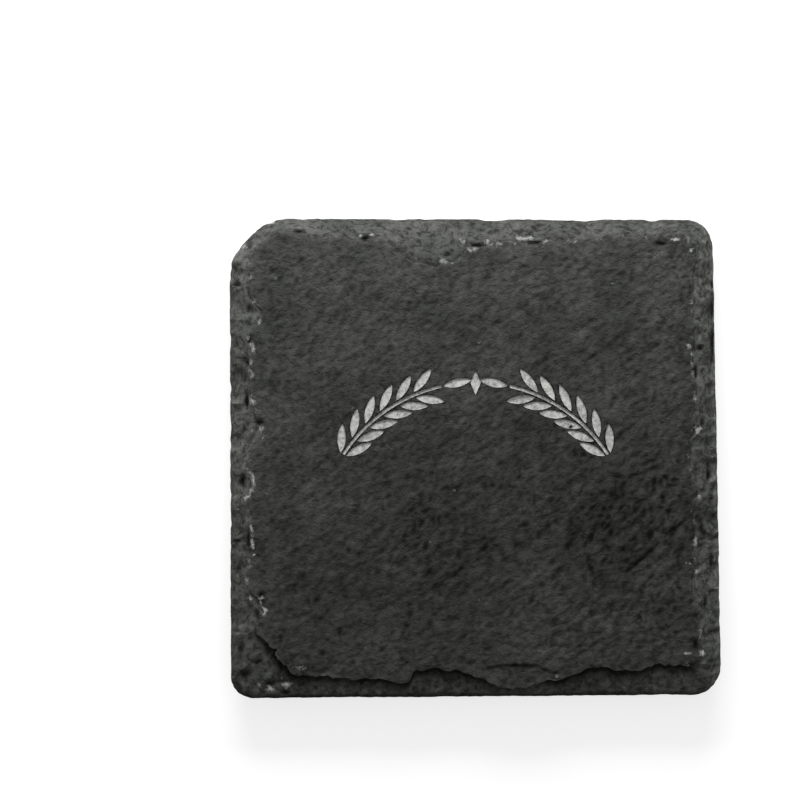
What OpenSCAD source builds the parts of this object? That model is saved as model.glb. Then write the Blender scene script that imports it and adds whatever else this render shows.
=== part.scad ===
// Square drink coaster: a slab of natural slate with hand-broken edges and a shallow leaf arch
// engraved in its top, standing on four foam pads that are stuck to its underside.
// +X is the right side, +Y the back, +Z up. The origin is on the table under the slab's middle.

/* [Slab] */
// Width of the slab, left to right
slab_w = 100; // [85:1:130]
// Depth of the slab, front to back
slab_d = 98; // [85:1:130]
// Thickness of the slab
slab_t = 5.5; // [4:0.1:9]
// Rounding of the front left corner
corner_fl = 4.5; // [2:0.5:9]
// Rounding of the front right corner
corner_fr = 6; // [2:0.5:9]
// Rounding of the back right corner
corner_br = 5.5; // [2:0.5:9]
// How far the clipped back left corner is cut off along each side
corner_clip = 8; // [4:0.5:10]

/* [Broken edge] */
// How far in the deepest chip bites into the top face
top_break = 10; // [6:0.5:11]
// Depth of the deepest top scar at the slab's edge
top_break_depth = 2.4; // [0.5:0.1:2.4]
// How far in the broken edge runs over the underside at its widest
under_break = 4; // [1:0.5:4]
// Depth of the deepest underside scar at the slab's edge
under_break_depth = 1; // [0.3:0.1:1.2]
// Least width of a broken edge
least_break = 1; // [0.9:0.1:1.5]
// How far the broken side wall wanders in from the outline
side_rough = 0.3; // [0.1:0.1:0.8]

/* [Engraving] */
// Depth of the engraving
engrave_depth = 0.2; // [0.1:0.05:0.5]
// Radius of the arch that the stems follow
arch_r = 32; // [24:1:36]
// How far the arch's centre lies in front of the slab's centre
arch_forward = 16.5; // [8:0.5:18]
// Angle from the arch's top down to each stem's foot
arch_half_angle = 57; // [45:1:65]
// Length of a leaf
leaf_l = 6; // [4:0.5:7]
// Width of a leaf
leaf_w = 1.7; // [1:0.1:2]
// Width of a stem
stem_w = 0.6; // [0.3:0.1:1]
// Number of leaf pairs on each stem
leaf_pairs = 6; // [3:1:6]

/* [Feet] */
// Diameter of a foam pad
pad_d = 15; // [8:0.5:18]
// Thickness of a foam pad
pad_t = 3; // [1.5:0.1:6]
// Distance from the slab's side to a pad's rim
pad_inset = 5.5; // [5:0.5:15]
// Rounding of a pad's lower edge
pad_edge_r = 0.4; // [0.1:0.1:1]
// Thickness of the adhesive film on a pad
adhesive_t = 0.15; // [0.1:0.05:0.4]
// How far the adhesive film stays inside a pad's rim
adhesive_margin = 0.2; // [0.1:0.1:1]

/* [Hidden] */
$fn = 96;

// One overrun serves every cut
overrun = 1;
half = [slab_w / 2, slab_d / 2];
underside_z = pad_t + adhesive_t;
top_z = underside_z + slab_t;

// Corners run anticlockwise: front left, front right, back right, back left
corner_signs = [[-1, -1], [1, -1], [1, 1], [-1, 1]];
// The clipped corner is cut straight, so it has no rounding of its own
corner_radii = [corner_fl, corner_fr, corner_br, 0];
clipped_corner = 3;
// How far each corner was dressed off the true rectangle, as shares of the slab's two sizes
corner_shift_shares = [[0.003, 0.003], [0, 0.011], [-0.018, -0.004], [0, -0.001]];
// How softly the clip runs into the sides, as a share of the slab's half size
clip_ease_share = 0.045;

// The slab's mesh has this many stations along each side
stations_per_side = 56;
stations = 4 * stations_per_side;
// Stations run square in from the sides and fan in to a point at each corner, this far in
fan_reach = top_break * 3 / 2;

// Places round the edge: 0 to 1 is the front side, then the right, the back and the left side.
// Where the top face breaks off, as shares of the deepest chip
top_line_shares = [
    // Front: a thin sheet of the slate lifted off, and the face runs out to the edge in one gap
    [0.000, 0.90], [0.030, 0.83], [0.086, 0.68], [0.115, 0.50], [0.156, 0.46], [0.196, 0.49],
    [0.209, 0.43], [0.239, 0.42], [0.271, 0.37], [0.312, 0.40], [0.345, 0.32], [0.364, 0.31],
    [0.372, 0.54], [0.396, 0.58], [0.424, 0.60], [0.457, 0.54], [0.490, 0.45], [0.516, 0.34],
    [0.546, 0.22], [0.571, 0.14], [0.602, 0.17], [0.622, 0.26], [0.642, 0.34], [0.665, 0.30],
    [0.682, 0.42], [0.722, 0.57], [0.735, 0.63], [0.775, 0.60], [0.788, 0.54], [0.838, 0.56],
    [0.850, 0.61], [0.887, 0.66], [0.960, 0.66],
    // Right
    [1.020, 0.54], [1.055, 0.39], [1.100, 0.42], [1.143, 0.45], [1.185, 0.55], [1.227, 0.62],
    [1.268, 0.51], [1.320, 0.57], [1.383, 0.53], [1.435, 0.44], [1.455, 0.61], [1.476, 0.62],
    [1.518, 0.57], [1.601, 0.49], [1.638, 0.44], [1.680, 0.49], [1.726, 0.54], [1.746, 0.49],
    [1.823, 0.46], [1.892, 0.50], [1.950, 0.42],
    // Back: one deep chip bites into the face
    [2.020, 0.36], [2.103, 0.33], [2.130, 0.39], [2.180, 0.38], [2.215, 0.34], [2.235, 0.44],
    [2.296, 0.47], [2.388, 0.49], [2.439, 0.46], [2.459, 0.54], [2.490, 0.63], [2.512, 0.66],
    [2.522, 0.78], [2.535, 0.90], [2.551, 0.95], [2.578, 1.00], [2.612, 0.91], [2.643, 0.74],
    [2.657, 0.61], [2.673, 0.51], [2.714, 0.44], [2.734, 0.47], [2.771, 0.41], [2.789, 0.34],
    [2.816, 0.41], [2.846, 0.32], [2.888, 0.25], [2.940, 0.26],
    // Left
    [3.030, 0.29], [3.077, 0.32], [3.119, 0.44], [3.160, 0.40], [3.177, 0.48], [3.191, 0.70],
    [3.208, 0.64], [3.237, 0.48], [3.249, 0.41], [3.274, 0.49], [3.316, 0.41], [3.345, 0.42],
    [3.389, 0.46], [3.420, 0.54], [3.447, 0.70], [3.462, 0.62], [3.478, 0.46], [3.514, 0.32],
    [3.545, 0.49], [3.566, 0.45], [3.580, 0.34], [3.617, 0.42], [3.680, 0.40], [3.696, 0.49],
    [3.742, 0.34], [3.780, 0.42], [3.794, 0.56], [3.821, 0.69], [3.852, 0.50], [3.869, 0.49],
    [3.890, 0.68], [3.940, 0.82], [4.000, 0.90]
];
// The scars that meet along the top's edge: where each starts, and its depth as a share of the
// deepest. The last row closes the ring.
top_scar_shares = [
    // Front
    [0.000, 0.80], [0.055, 0.70], [0.098, 0.85], [0.150, 0.95], [0.185, 0.80], [0.232, 1.00],
    [0.275, 0.85], [0.310, 0.95], [0.362, 0.80], [0.425, 1.00], [0.462, 0.90], [0.500, 0.80],
    [0.545, 0.60], [0.580, 0.55], [0.640, 0.80], [0.675, 0.95], [0.722, 1.00], [0.775, 0.80],
    [0.800, 1.00], [0.862, 0.85], [0.890, 1.00], [0.945, 0.90], [0.975, 0.75],
    // Right
    [1.030, 0.80], [1.092, 0.65], [1.112, 0.85], [1.148, 0.75], [1.195, 0.90], [1.231, 0.85],
    [1.283, 0.65], [1.310, 0.80], [1.351, 0.90], [1.389, 0.70], [1.420, 0.75], [1.455, 0.95],
    [1.505, 0.80], [1.545, 0.70], [1.580, 0.85], [1.626, 0.75], [1.667, 0.85], [1.713, 0.60],
    [1.740, 0.90], [1.825, 0.65], [1.854, 0.85], [1.917, 0.70], [1.960, 0.80],
    // Back
    [2.042, 0.65], [2.072, 0.80], [2.107, 0.70], [2.140, 0.85], [2.180, 0.75], [2.221, 0.90],
    [2.270, 0.70], [2.302, 0.65], [2.327, 0.85], [2.376, 0.90], [2.425, 0.65], [2.455, 0.85],
    [2.510, 0.70], [2.541, 1.00], [2.655, 0.80], [2.698, 0.90], [2.759, 0.65], [2.795, 0.85],
    [2.850, 0.75], [2.897, 0.60], [2.926, 0.80],
    // Left
    [3.010, 0.70], [3.055, 0.60], [3.085, 0.80], [3.141, 0.90], [3.212, 0.70], [3.247, 0.85],
    [3.299, 0.60], [3.320, 0.85], [3.374, 0.80], [3.426, 0.60], [3.455, 0.85], [3.495, 0.70],
    [3.532, 0.90], [3.582, 0.60], [3.611, 0.85], [3.669, 0.65], [3.703, 0.60], [3.736, 0.85],
    [3.784, 0.60], [3.813, 0.90], [3.865, 0.60], [3.888, 0.80], [3.936, 0.85], [4.000, 0.80]
];
// The underside's broken edge in the same way
under_line_shares = [
    [0.00, 0.60], [0.10, 0.48], [0.20, 0.60], [0.33, 0.40], [0.47, 0.65], [0.60, 0.45],
    [0.72, 0.60], [0.83, 0.50], [0.93, 0.70], [1.03, 0.60], [1.10, 0.45], [1.16, 0.85],
    [1.27, 1.00], [1.37, 0.80], [1.52, 0.95], [1.60, 0.65], [1.70, 0.70], [1.78, 0.45],
    [1.88, 0.65], [1.96, 0.80], [2.05, 0.95], [2.15, 0.85], [2.34, 1.00], [2.44, 0.85],
    [2.55, 1.00], [2.76, 0.85], [2.86, 1.00], [2.95, 0.70], [3.06, 0.55], [3.20, 0.40],
    [3.33, 0.55], [3.45, 0.43], [3.57, 0.60], [3.70, 0.40], [3.83, 0.60], [3.94, 0.45],
    [4.00, 0.60]
];
under_scar_shares = [
    [0.00, 0.70], [0.07, 0.90], [0.15, 0.75], [0.26, 0.90], [0.31, 0.70], [0.42, 0.85],
    [0.50, 0.75], [0.61, 0.90], [0.68, 0.80], [0.79, 0.70], [0.86, 0.90], [0.96, 0.75],
    [1.05, 0.85], [1.13, 0.70], [1.24, 0.95], [1.38, 0.80], [1.47, 0.90], [1.61, 0.75],
    [1.68, 0.85], [1.80, 0.70], [1.91, 0.90], [2.00, 0.80], [2.09, 0.95], [2.16, 0.75],
    [2.28, 0.90], [2.35, 0.80], [2.47, 1.00], [2.55, 0.75], [2.67, 0.90], [2.74, 0.80],
    [2.85, 0.95], [2.96, 0.75], [3.04, 0.85], [3.13, 0.70], [3.22, 0.90], [3.34, 0.75],
    [3.41, 0.85], [3.53, 0.70], [3.62, 0.90], [3.75, 0.80], [3.88, 0.90], [4.00, 0.70]
];
// Depth left on the ridges between scars, as a share of the deepest
ridge_depth_share = 0.5;
// How squarely a scar's middle is scooped: 1 is a parabola, less is fuller
scoop_power = 0.6;
// A thin sheet of the slate lifted off along the front: by place, the share of the cut's depth
// that is a sheer step at its inner end
sheer_shares = [
    [0.00, 0.45], [0.50, 0.45], [0.56, 0.15], [0.64, 0.15], [0.70, 0.50], [0.96, 0.45],
    [1.10, 0.12], [2.48, 0.12], [2.56, 0.35], [2.64, 0.35], [2.72, 0.12], [3.80, 0.12],
    [3.90, 0.40], [4.00, 0.45]
];
// A scar's profile, from its inner end out to the edge: how far out each ring lies, as a share of
// the scar's width still to go, and the share of the cut below the sheer step that is reached there
scar_profile_shares = [[1, 0], [0.93, 0.03], [0.6, 0.35], [0.3, 0.68], [0, 1]];
under_profile_shares = [[0, 1], [0.5, 0.6], [1, 0]];
// Slow and quick waves of the side wall: how many run round the slab, and the angle each starts at
wall_waves = [[7, 40], [19, 0], [53, 0], [83, 70]];
// The middle of the side wall lies nearest the outline, at this share of its roughness
wall_belly_share = 0.3;

// Stems stop short of the arch's top by this share of the arch's half angle
stem_top_share = 0.22;
// Leaves start this share of a stem's width off its centreline, and lean off it by leaf_lean
leaf_gap_share = 1;
leaf_lean = 30;
// Half width and half height of the lozenge at the arch's top, as shares of a leaf's length
lozenge_shares = [0.18, 0.42];

// A point of the square from -1 to 1, for a place round the edge
function square_at(t) = let (side = floor(t) % 4, f = 2 * (t - floor(t)) - 1)
    side == 0 ? [f, -1] : side == 1 ? [1, f] : side == 2 ? [-f, 1] : [-1, -f];

// The corner that a direction points to
function corner_of(p) = p.y < 0 ? (p.x < 0 ? 0 : 1) : (p.x < 0 ? 3 : 2);

// How far out along the ray to the rectangle's point q its rounded corner is met, as a share
function round_share(q, r) = let (
        u = [abs(q.x), abs(q.y)],
        c = [half.x - r, half.y - r],
        b = u * c
    ) u.x <= c.x || u.y <= c.y ? 1 : (b + sqrt(max(0, b * b - (u * u) * (c * c - r * r)))) / (u * u);

// The same for the clipped corner, which is cut off by a straight line with its two ends eased:
// the lesser of two shares, and less again where they are close
function clip_share(q) = let (
        share = (half.x + half.y - corner_clip) / (abs(q.x) + abs(q.y)),
        closeness = max(0, 1 - abs(1 - share) / clip_ease_share)
    ) min(1, share) - closeness * closeness * clip_ease_share / 4;

// Moves a point with the four dressed corners, each with a weight that fades across the slab
function dressed(q) = let (
        weights = [for (s = corner_signs) (1 + s.x * q.x / half.x) * (1 + s.y * q.y / half.y) / 4],
        shift = weights * corner_shift_shares
    ) [q.x + shift.x * slab_w, q.y + shift.y * slab_d];

// The outline at a place round the edge
function outline_at(t) = let (
        p = square_at(t),
        q = [p.x * half.x, p.y * half.y],
        corner = corner_of(p)
    ) dressed(q * (corner == clipped_corner ? clip_share(q) : round_share(q, corner_radii[corner])));

// A value held within plus or minus a limit
function held(v, limit) = max(-limit, min(limit, v));

// A point of the slab's plan, this far in from the outline
function plan_at(t, inset) = let (
        edge = outline_at(t),
        core = [held(edge.x, half.x - fan_reach), held(edge.y, half.y - fan_reach)]
    ) edge + (core - edge) * (inset / fan_reach);

// Depth of the scars at a place, as a share of the deepest: each is scooped between two ridges
function scoop_share(t, scars) = let (
        order = lookup(t, [for (i = [0 : len(scars) - 1]) [scars[i][0], i]]),
        u = order - floor(order),
        middle = scars[floor(order)][1]
    ) ridge_depth_share + (middle - ridge_depth_share) * pow(4 * u * (1 - u), scoop_power);

// The side wall's wandering in from the outline: the mean of waves that each run from 0 to 1
function wall_inset(t) = let (
        waves = [for (w = wall_waves) (1 + sin(360 * w[0] * t / 4 + w[1])) / 2]
    ) side_rough * (waves * [for (w = waves) 1]) / len(waves);

function break_width(t, line, widest) = max(least_break, widest * lookup(t, line));

function top_point(t, k) = let (
        edge = wall_inset(t + 1 / 3),
        sheer = lookup(t, sheer_shares),
        drop = k[0] == 1 ? 0 : sheer + (1 - sheer) * k[1]
    ) concat(
        plan_at(t, edge + (break_width(t, top_line_shares, top_break) - edge) * k[0]),
        top_z - drop * top_break_depth * scoop_share(t, top_scar_shares));

function under_point(t, k) = let (edge = wall_inset(t + 2 / 3)) concat(
        plan_at(t, edge + (break_width(t, under_line_shares, under_break) - edge) * k[0]),
        underside_z + k[1] * under_break_depth * scoop_share(t, under_scar_shares));

function wall_point(t) = concat(
        plan_at(t, wall_belly_share * wall_inset(t)),
        (top_point(t, [0, 1]).z + under_point(t, [0, 1]).z) / 2);

function slab_rings() = let (places = [for (i = [0 : stations - 1]) i / stations_per_side]) concat(
        [for (k = scar_profile_shares) [for (t = places) top_point(t, k)]],
        [[for (t = places) wall_point(t)]],
        [for (k = under_profile_shares) [for (t = places) under_point(t, k)]]
    );

// Rings of stations from the top face down to the underside, each face closed by a fan
module slab_body() {
    rings = slab_rings();
    last = (len(rings) - 1) * stations;
    hub = len(rings) * stations;
    points = concat([for (ring = rings) each ring], [[0, 0, top_z], [0, 0, underside_z]]);
    strips = [
        for (a = [0 : stations : last - 1], i = [0 : stations - 1])
            let (j = (i + 1) % stations, b = a + stations)
            each [[a + i, b + j, b + i], [a + i, a + j, b + j]]
    ];
    fans = [
        for (i = [0 : stations - 1]) let (j = (i + 1) % stations)
            each [[hub, j, i], [hub + 1, last + i, last + j]]
    ];
    polyhedron(points, concat(strips, fans));
}

// A leaf between two arcs, from the origin along +X
module leaf(length, width) {
    r = (length * length + width * width) / (4 * width);
    translate([length / 2, 0]) intersection() {
        translate([0, r - width / 2]) circle(r);
        translate([0, width / 2 - r]) circle(r);
    }
}

// Puts its children on the arch, facing its top, at an angle from the top down the left side
module on_arch(angle) {
    rotate(90 + angle) translate([arch_r, 0]) rotate(-90) children();
}

// One stem with its leaf pairs, on the left side of the arch
module leaf_stem() {
    stem_top = arch_half_angle * stem_top_share;
    reach = 2 * (arch_r + leaf_l);
    pair_step = (arch_half_angle - stem_top) / (leaf_pairs + 1 / 2);
    leaf_gap = stem_w * leaf_gap_share;
    intersection() {
        difference() {
            circle(arch_r + stem_w / 2);
            circle(arch_r - stem_w / 2);
        }
        polygon([
            [0, 0],
            reach * [-sin(stem_top), cos(stem_top)],
            reach * [-sin(arch_half_angle), cos(arch_half_angle)]
        ]);
    }
    on_arch(stem_top) leaf(leaf_l, leaf_w);
    for (i = [0 : leaf_pairs - 1], side = [-1, 1])
        on_arch(arch_half_angle - i * pair_step)
            translate([0, side * leaf_gap]) rotate(side * leaf_lean) leaf(leaf_l, leaf_w);
}

// The leaf arch, cut down into the top face
module engraving() {
    lozenge = leaf_l * lozenge_shares;
    translate([0, -arch_forward, top_z - engrave_depth]) linear_extrude(engrave_depth + overrun) {
        for (side = [0, 1]) mirror([side, 0]) leaf_stem();
        translate([0, arch_r]) polygon([
            [lozenge.x, 0], [0, lozenge.y], [-lozenge.x, 0], [0, -lozenge.y]
        ]);
    }
}

module slate_slab() {
    color("#3c3e3d") difference() {
        slab_body();
        engraving();
    }
}

// Puts its children under a corner of the slab
module at_corner(sign) {
    inset = pad_inset + pad_d / 2;
    translate([sign.x * (half.x - inset), sign.y * (half.y - inset), 0]) children();
}

// A die-cut disc of foam, its lower edge rounded where it is pressed on the table
module foam_pad(sign) {
    color("#262722") at_corner(sign) rotate_extrude() {
        square([pad_d / 2 - pad_edge_r, pad_t]);
        translate([0, pad_edge_r]) square([pad_d / 2, pad_t - pad_edge_r]);
        translate([pad_d / 2 - pad_edge_r, pad_edge_r]) circle(pad_edge_r);
    }
}

// The film of adhesive between a pad and the slab
module adhesive_disc(sign) {
    color("#8f8f88") at_corner(sign) translate([0, 0, pad_t])
        cylinder(h = adhesive_t, r = pad_d / 2 - adhesive_margin);
}

slate_slab();
foam_pad(corner_signs[0]);  // foam_pad_front_left
foam_pad(corner_signs[1]);  // foam_pad_front_right
foam_pad(corner_signs[2]);  // foam_pad_back_right
foam_pad(corner_signs[3]);  // foam_pad_back_left
adhesive_disc(corner_signs[0]);  // adhesive_disc_front_left
adhesive_disc(corner_signs[1]);  // adhesive_disc_front_right
adhesive_disc(corner_signs[2]);  // adhesive_disc_back_right
adhesive_disc(corner_signs[3]);  // adhesive_disc_back_left
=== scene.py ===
"""Looks of a square slate coaster on foam feet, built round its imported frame.

Shape functions work in millimetres in the frame's own axes, and meshes are stored in metres.
A place round the slab's edge is a number from 0 to 4: 0 to 1 is the front side from left to
right, then come the right side, the back and the left side. An inset is a distance in from the
slab's outline, and a drop is a distance down from the top face.
"""
import math

import bpy
import numpy as np
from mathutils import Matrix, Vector


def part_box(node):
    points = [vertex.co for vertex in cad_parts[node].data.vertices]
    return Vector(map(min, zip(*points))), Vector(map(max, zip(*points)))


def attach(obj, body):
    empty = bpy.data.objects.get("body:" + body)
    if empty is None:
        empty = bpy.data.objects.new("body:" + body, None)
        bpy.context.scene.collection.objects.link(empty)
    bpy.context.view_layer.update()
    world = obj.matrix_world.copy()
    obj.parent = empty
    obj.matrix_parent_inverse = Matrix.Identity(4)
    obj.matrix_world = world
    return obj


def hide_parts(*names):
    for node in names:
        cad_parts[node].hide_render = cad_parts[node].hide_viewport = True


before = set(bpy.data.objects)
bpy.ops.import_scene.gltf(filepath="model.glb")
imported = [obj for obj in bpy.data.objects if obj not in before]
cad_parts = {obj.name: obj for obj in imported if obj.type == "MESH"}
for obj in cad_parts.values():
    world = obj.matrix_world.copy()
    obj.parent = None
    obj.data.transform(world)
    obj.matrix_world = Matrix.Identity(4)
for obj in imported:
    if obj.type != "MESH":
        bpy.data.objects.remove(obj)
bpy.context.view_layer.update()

# One millimetre, in metres
MM = 0.001

# The slab as packed, and half of the 100 by 98 mm rectangle that it was cut to
SLAB_LOW, SLAB_HIGH = (np.array(corner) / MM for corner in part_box("slate_slab"))
TOP_Z = SLAB_HIGH[2]
UNDER_Z = SLAB_LOW[2]
HALF = np.array([50, 49])

# Corners run anticlockwise: front left, front right, back right, back left
CORNERS = ("front_left", "front_right", "back_right", "back_left")
CORNER_SIGNS = np.array([[-1, -1], [1, -1], [1, 1], [-1, 1]])
CORNER_RADII = np.array([4.5, 6, 5.5, 0])
CLIPPED_CORNER = 3
CORNER_CLIP = 8
# How softly the clip runs into the sides, as a share of the slab's half size
CLIP_EASE = 0.045
# How far each corner was dressed off the true rectangle
CORNER_SHIFTS = np.array([[0.3, 0.3], [0, 1.1], [-1.8, -0.4], [0, -0.1]])
# Stations run square in from the sides and fan in to a point at each corner, this far in
FAN_REACH = 15

# The slab's mesh: stations along each side, and rows of its bands
PER_SIDE = 210
MARGIN_ROWS = 6
SHEER_ROWS = 3
SCAR_ROWS = 14
WALL_ROWS = 9
UNDER_ROWS = 7
# The face's grid starts this far inside the broken edge, once that is smoothed by this many
# stations either way, and at least the second length inside the edge as it is. So does the
# underside's.
MARGIN, LEAST_MARGIN = 2.6, 0.6
UNDER_MARGIN, UNDER_LEAST_MARGIN = 1.6, 0.5
SMOOTH_STATIONS = 14
# The underside's grid starts this far inside its last ring
JOIN_GAP = 0.8
# Where shading stays sharp: at edges of more than this many degrees
SHARP_ANGLE = 50

# Noise repeats after this many cells, and the way round the slab's edge is taken to be this long
NOISE_CELLS = 256
ROUND_LENGTH = 400

# Depth of the deepest scars at the slab's edge, and the least width of a broken edge
TOP_BREAK_DEPTH = 2.4
UNDER_BREAK_DEPTH = 1
LEAST_BREAK = 1
# How far the broken side wanders in from the outline
SIDE_ROUGH = 0.2
# By place, how deep the nicks are that go through the slab's whole side
NICKS = np.array([[0.00, 0.15], [1.90, 0.15], [2.05, 0.35], [2.95, 0.35], [3.05, 0.30], [3.90, 0.25]])
# How far the face's relief lies below its highest plane, on the whole, and how much of the
# relief is lost where the face is broken off
FACE_SINK = 0.28
RELIEF_LOST = 0.6
# The face's lip dips this far where it breaks off
LIP = 0.05
# The scars run down to the edge as this power of the way out. The last of the way is rounded off
# this deep, over this far.
SCAR_CURVE = 1.25
ARRIS_DEPTH, ARRIS_REACH = 0.5, 0.8
# At the foot of a sheer step the stone is hollowed by this share of the step, over this far, and is
# painted darker by this share, over this far: a painted shadow of the step
FOOT_SHARE, FOOT_REACH = 0.45, 0.9
FOOT_SHADE, FOOT_SHADE_REACH = 0.66, 1.5
# Broken stone is drawn into treads by this share, and a tread rises in this last part of itself
TREAD_SHARE, TREAD_RISER = 0.5, 0.3
TOP_TREAD, UNDER_TREAD = 0.42, 0.4
# The underside's scars fall off as this power of the way in, are paler by this share, and have
# this much wear at the edge
UNDER_CURVE, UNDER_FRESH, UNDER_WEAR = 1.5, 0.95, 0.4
# The thickness of the layers in the slab's side, how deep their ledges and their grain are, and
# how worn it is
LAYER_HEIGHT, LEDGE_DEPTH, LEDGE_GRAIN, WALL_WEAR = 0.55, 0.22, 0.08, 0.15
# How far the scars' ridges stray sideways, in places. Near a corner, over this many places either
# way, they give way to lumps of this height.
RIDGE_STRAY = 0.02
CORNER_SPAN, CORNER_LUMPS = 0.11, 0.45

# Where the top face breaks off: places and insets
TOP_LINE = np.array([
    # Front, where a thin sheet of the slate lifted off, and the face runs out in one gap
    [0.030, 8.3], [0.086, 6.8], [0.115, 5.0], [0.156, 4.6], [0.196, 4.9], [0.209, 4.3],
    [0.239, 4.2], [0.271, 3.7], [0.312, 4.0], [0.345, 3.2], [0.364, 3.1], [0.372, 5.4],
    [0.396, 5.8], [0.424, 6.0], [0.457, 5.4], [0.490, 4.5], [0.516, 3.4], [0.546, 2.2],
    [0.571, 1.4], [0.602, 1.7], [0.622, 2.6], [0.642, 3.4], [0.665, 3.0], [0.682, 4.2],
    [0.722, 5.7], [0.735, 6.3], [0.775, 6.0], [0.788, 5.4], [0.838, 5.6], [0.850, 6.1],
    [0.887, 6.6], [0.960, 6.6],
    # Right
    [1.020, 5.4], [1.055, 3.9], [1.100, 4.2], [1.143, 4.5], [1.185, 5.5], [1.227, 6.2],
    [1.268, 5.1], [1.320, 5.7], [1.383, 5.3], [1.435, 4.4], [1.455, 6.1], [1.476, 6.2],
    [1.518, 5.7], [1.601, 4.9], [1.638, 4.4], [1.680, 4.9], [1.726, 5.4], [1.746, 4.9],
    [1.823, 4.6], [1.892, 5.0], [1.950, 4.2],
    # Back, where one deep chip bites into the face
    [2.020, 3.6], [2.103, 3.3], [2.130, 3.9], [2.180, 3.8], [2.215, 3.4], [2.235, 4.4],
    [2.296, 4.7], [2.388, 4.9], [2.439, 4.6], [2.459, 5.4], [2.490, 6.3], [2.512, 6.6],
    [2.522, 7.8], [2.535, 9.0], [2.551, 9.5], [2.578, 10.0], [2.612, 9.1], [2.643, 7.4],
    [2.657, 6.1], [2.673, 5.1], [2.714, 4.4], [2.734, 4.7], [2.771, 4.1], [2.789, 3.4],
    [2.816, 4.1], [2.846, 3.2], [2.888, 2.5], [2.940, 2.6],
    # Left
    [3.030, 2.9], [3.077, 3.2], [3.119, 4.4], [3.160, 4.0], [3.177, 4.8], [3.191, 7.0],
    [3.208, 6.4], [3.237, 4.8], [3.249, 4.1], [3.274, 4.9], [3.316, 4.1], [3.345, 4.2],
    [3.389, 4.6], [3.420, 5.4], [3.447, 7.0], [3.462, 6.2], [3.478, 4.6], [3.514, 3.2],
    [3.545, 4.9], [3.566, 4.5], [3.580, 3.4], [3.617, 4.2], [3.680, 4.0], [3.696, 4.9],
    [3.742, 3.4], [3.780, 4.2], [3.794, 5.6], [3.821, 6.9], [3.852, 5.0], [3.869, 4.9],
    [3.890, 6.8], [3.940, 8.2], [3.980, 9.0],
])
# The scars that meet along the top's edge: where each starts, and its depth as a share of the
# deepest. Neighbours meet in a ridge.
TOP_SCARS = np.array([
    # Front
    [0.000, 0.80], [0.055, 0.70], [0.098, 0.85], [0.150, 0.95], [0.185, 0.80], [0.232, 1.00],
    [0.275, 0.85], [0.310, 0.95], [0.362, 0.80], [0.425, 1.00], [0.462, 0.90], [0.500, 0.80],
    [0.545, 0.60], [0.580, 0.55], [0.640, 0.80], [0.675, 0.95], [0.722, 1.00], [0.775, 0.80],
    [0.800, 1.00], [0.862, 0.85], [0.890, 1.00], [0.945, 0.90], [0.975, 0.75],
    # Right
    [1.030, 0.80], [1.092, 0.65], [1.112, 0.85], [1.148, 0.75], [1.195, 0.90], [1.231, 0.85],
    [1.283, 0.65], [1.310, 0.80], [1.351, 0.90], [1.389, 0.70], [1.420, 0.75], [1.455, 0.95],
    [1.505, 0.80], [1.545, 0.70], [1.580, 0.85], [1.626, 0.75], [1.667, 0.85], [1.713, 0.60],
    [1.740, 0.90], [1.825, 0.65], [1.854, 0.85], [1.917, 0.70], [1.960, 0.80],
    # Back
    [2.042, 0.65], [2.072, 0.80], [2.107, 0.70], [2.140, 0.85], [2.180, 0.75], [2.221, 0.90],
    [2.270, 0.70], [2.302, 0.65], [2.327, 0.85], [2.376, 0.90], [2.425, 0.65], [2.455, 0.85],
    [2.510, 0.70], [2.541, 1.00], [2.655, 0.80], [2.698, 0.90], [2.759, 0.65], [2.795, 0.85],
    [2.850, 0.75], [2.897, 0.60], [2.926, 0.80],
    # Left
    [3.010, 0.70], [3.055, 0.60], [3.085, 0.80], [3.141, 0.90], [3.212, 0.70], [3.247, 0.85],
    [3.299, 0.60], [3.320, 0.85], [3.374, 0.80], [3.426, 0.60], [3.455, 0.85], [3.495, 0.70],
    [3.532, 0.90], [3.582, 0.60], [3.611, 0.85], [3.669, 0.65], [3.703, 0.60], [3.736, 0.85],
    [3.784, 0.60], [3.813, 0.90], [3.865, 0.60], [3.888, 0.80], [3.936, 0.85],
])
# By place, the share of the cut's depth that is a sheer step at its inner end
SHEER_SHARES = np.array([
    [0.00, 0.45], [0.50, 0.50], [0.56, 0.15], [0.62, 0.20], [0.68, 0.55], [0.96, 0.50],
    [1.06, 0.08], [2.48, 0.08], [2.56, 0.25], [2.64, 0.25], [2.72, 0.08], [3.80, 0.08],
    [3.90, 0.35],
])
# By place, how much paler the broken edge is than the weathered face
FRESH = np.array([
    [0.02, 1.65], [0.10, 1.65], [0.30, 1.70], [0.40, 1.35], [0.55, 1.35], [0.93, 1.40],
    [1.04, 1.95], [1.95, 1.90], [2.06, 1.34], [2.90, 1.38], [3.03, 1.68], [3.88, 1.62],
    [3.97, 1.50],
])
# By place, how worn to powder the face's broken lip and the slab's outer edge are, from 0 to 1
LIP_WEAR = np.array([
    [0.00, 0.05], [0.95, 0.10], [1.05, 0.50], [1.95, 0.45], [2.06, 0.45], [2.32, 0.50],
    [2.38, 0.75], [2.50, 0.75], [2.56, 0.30], [2.66, 0.30], [2.72, 0.55], [2.95, 0.30],
    [3.05, 0.50], [3.10, 0.75], [3.80, 0.75], [3.90, 0.20],
])
EDGE_WEAR = np.array([
    [0.03, 0.00], [0.95, 0.00], [1.05, 0.45], [1.95, 0.45], [2.05, 0.28], [2.95, 0.28],
    [3.05, 0.40], [3.90, 0.30],
])
WEAR_REACH = 0.8
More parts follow.
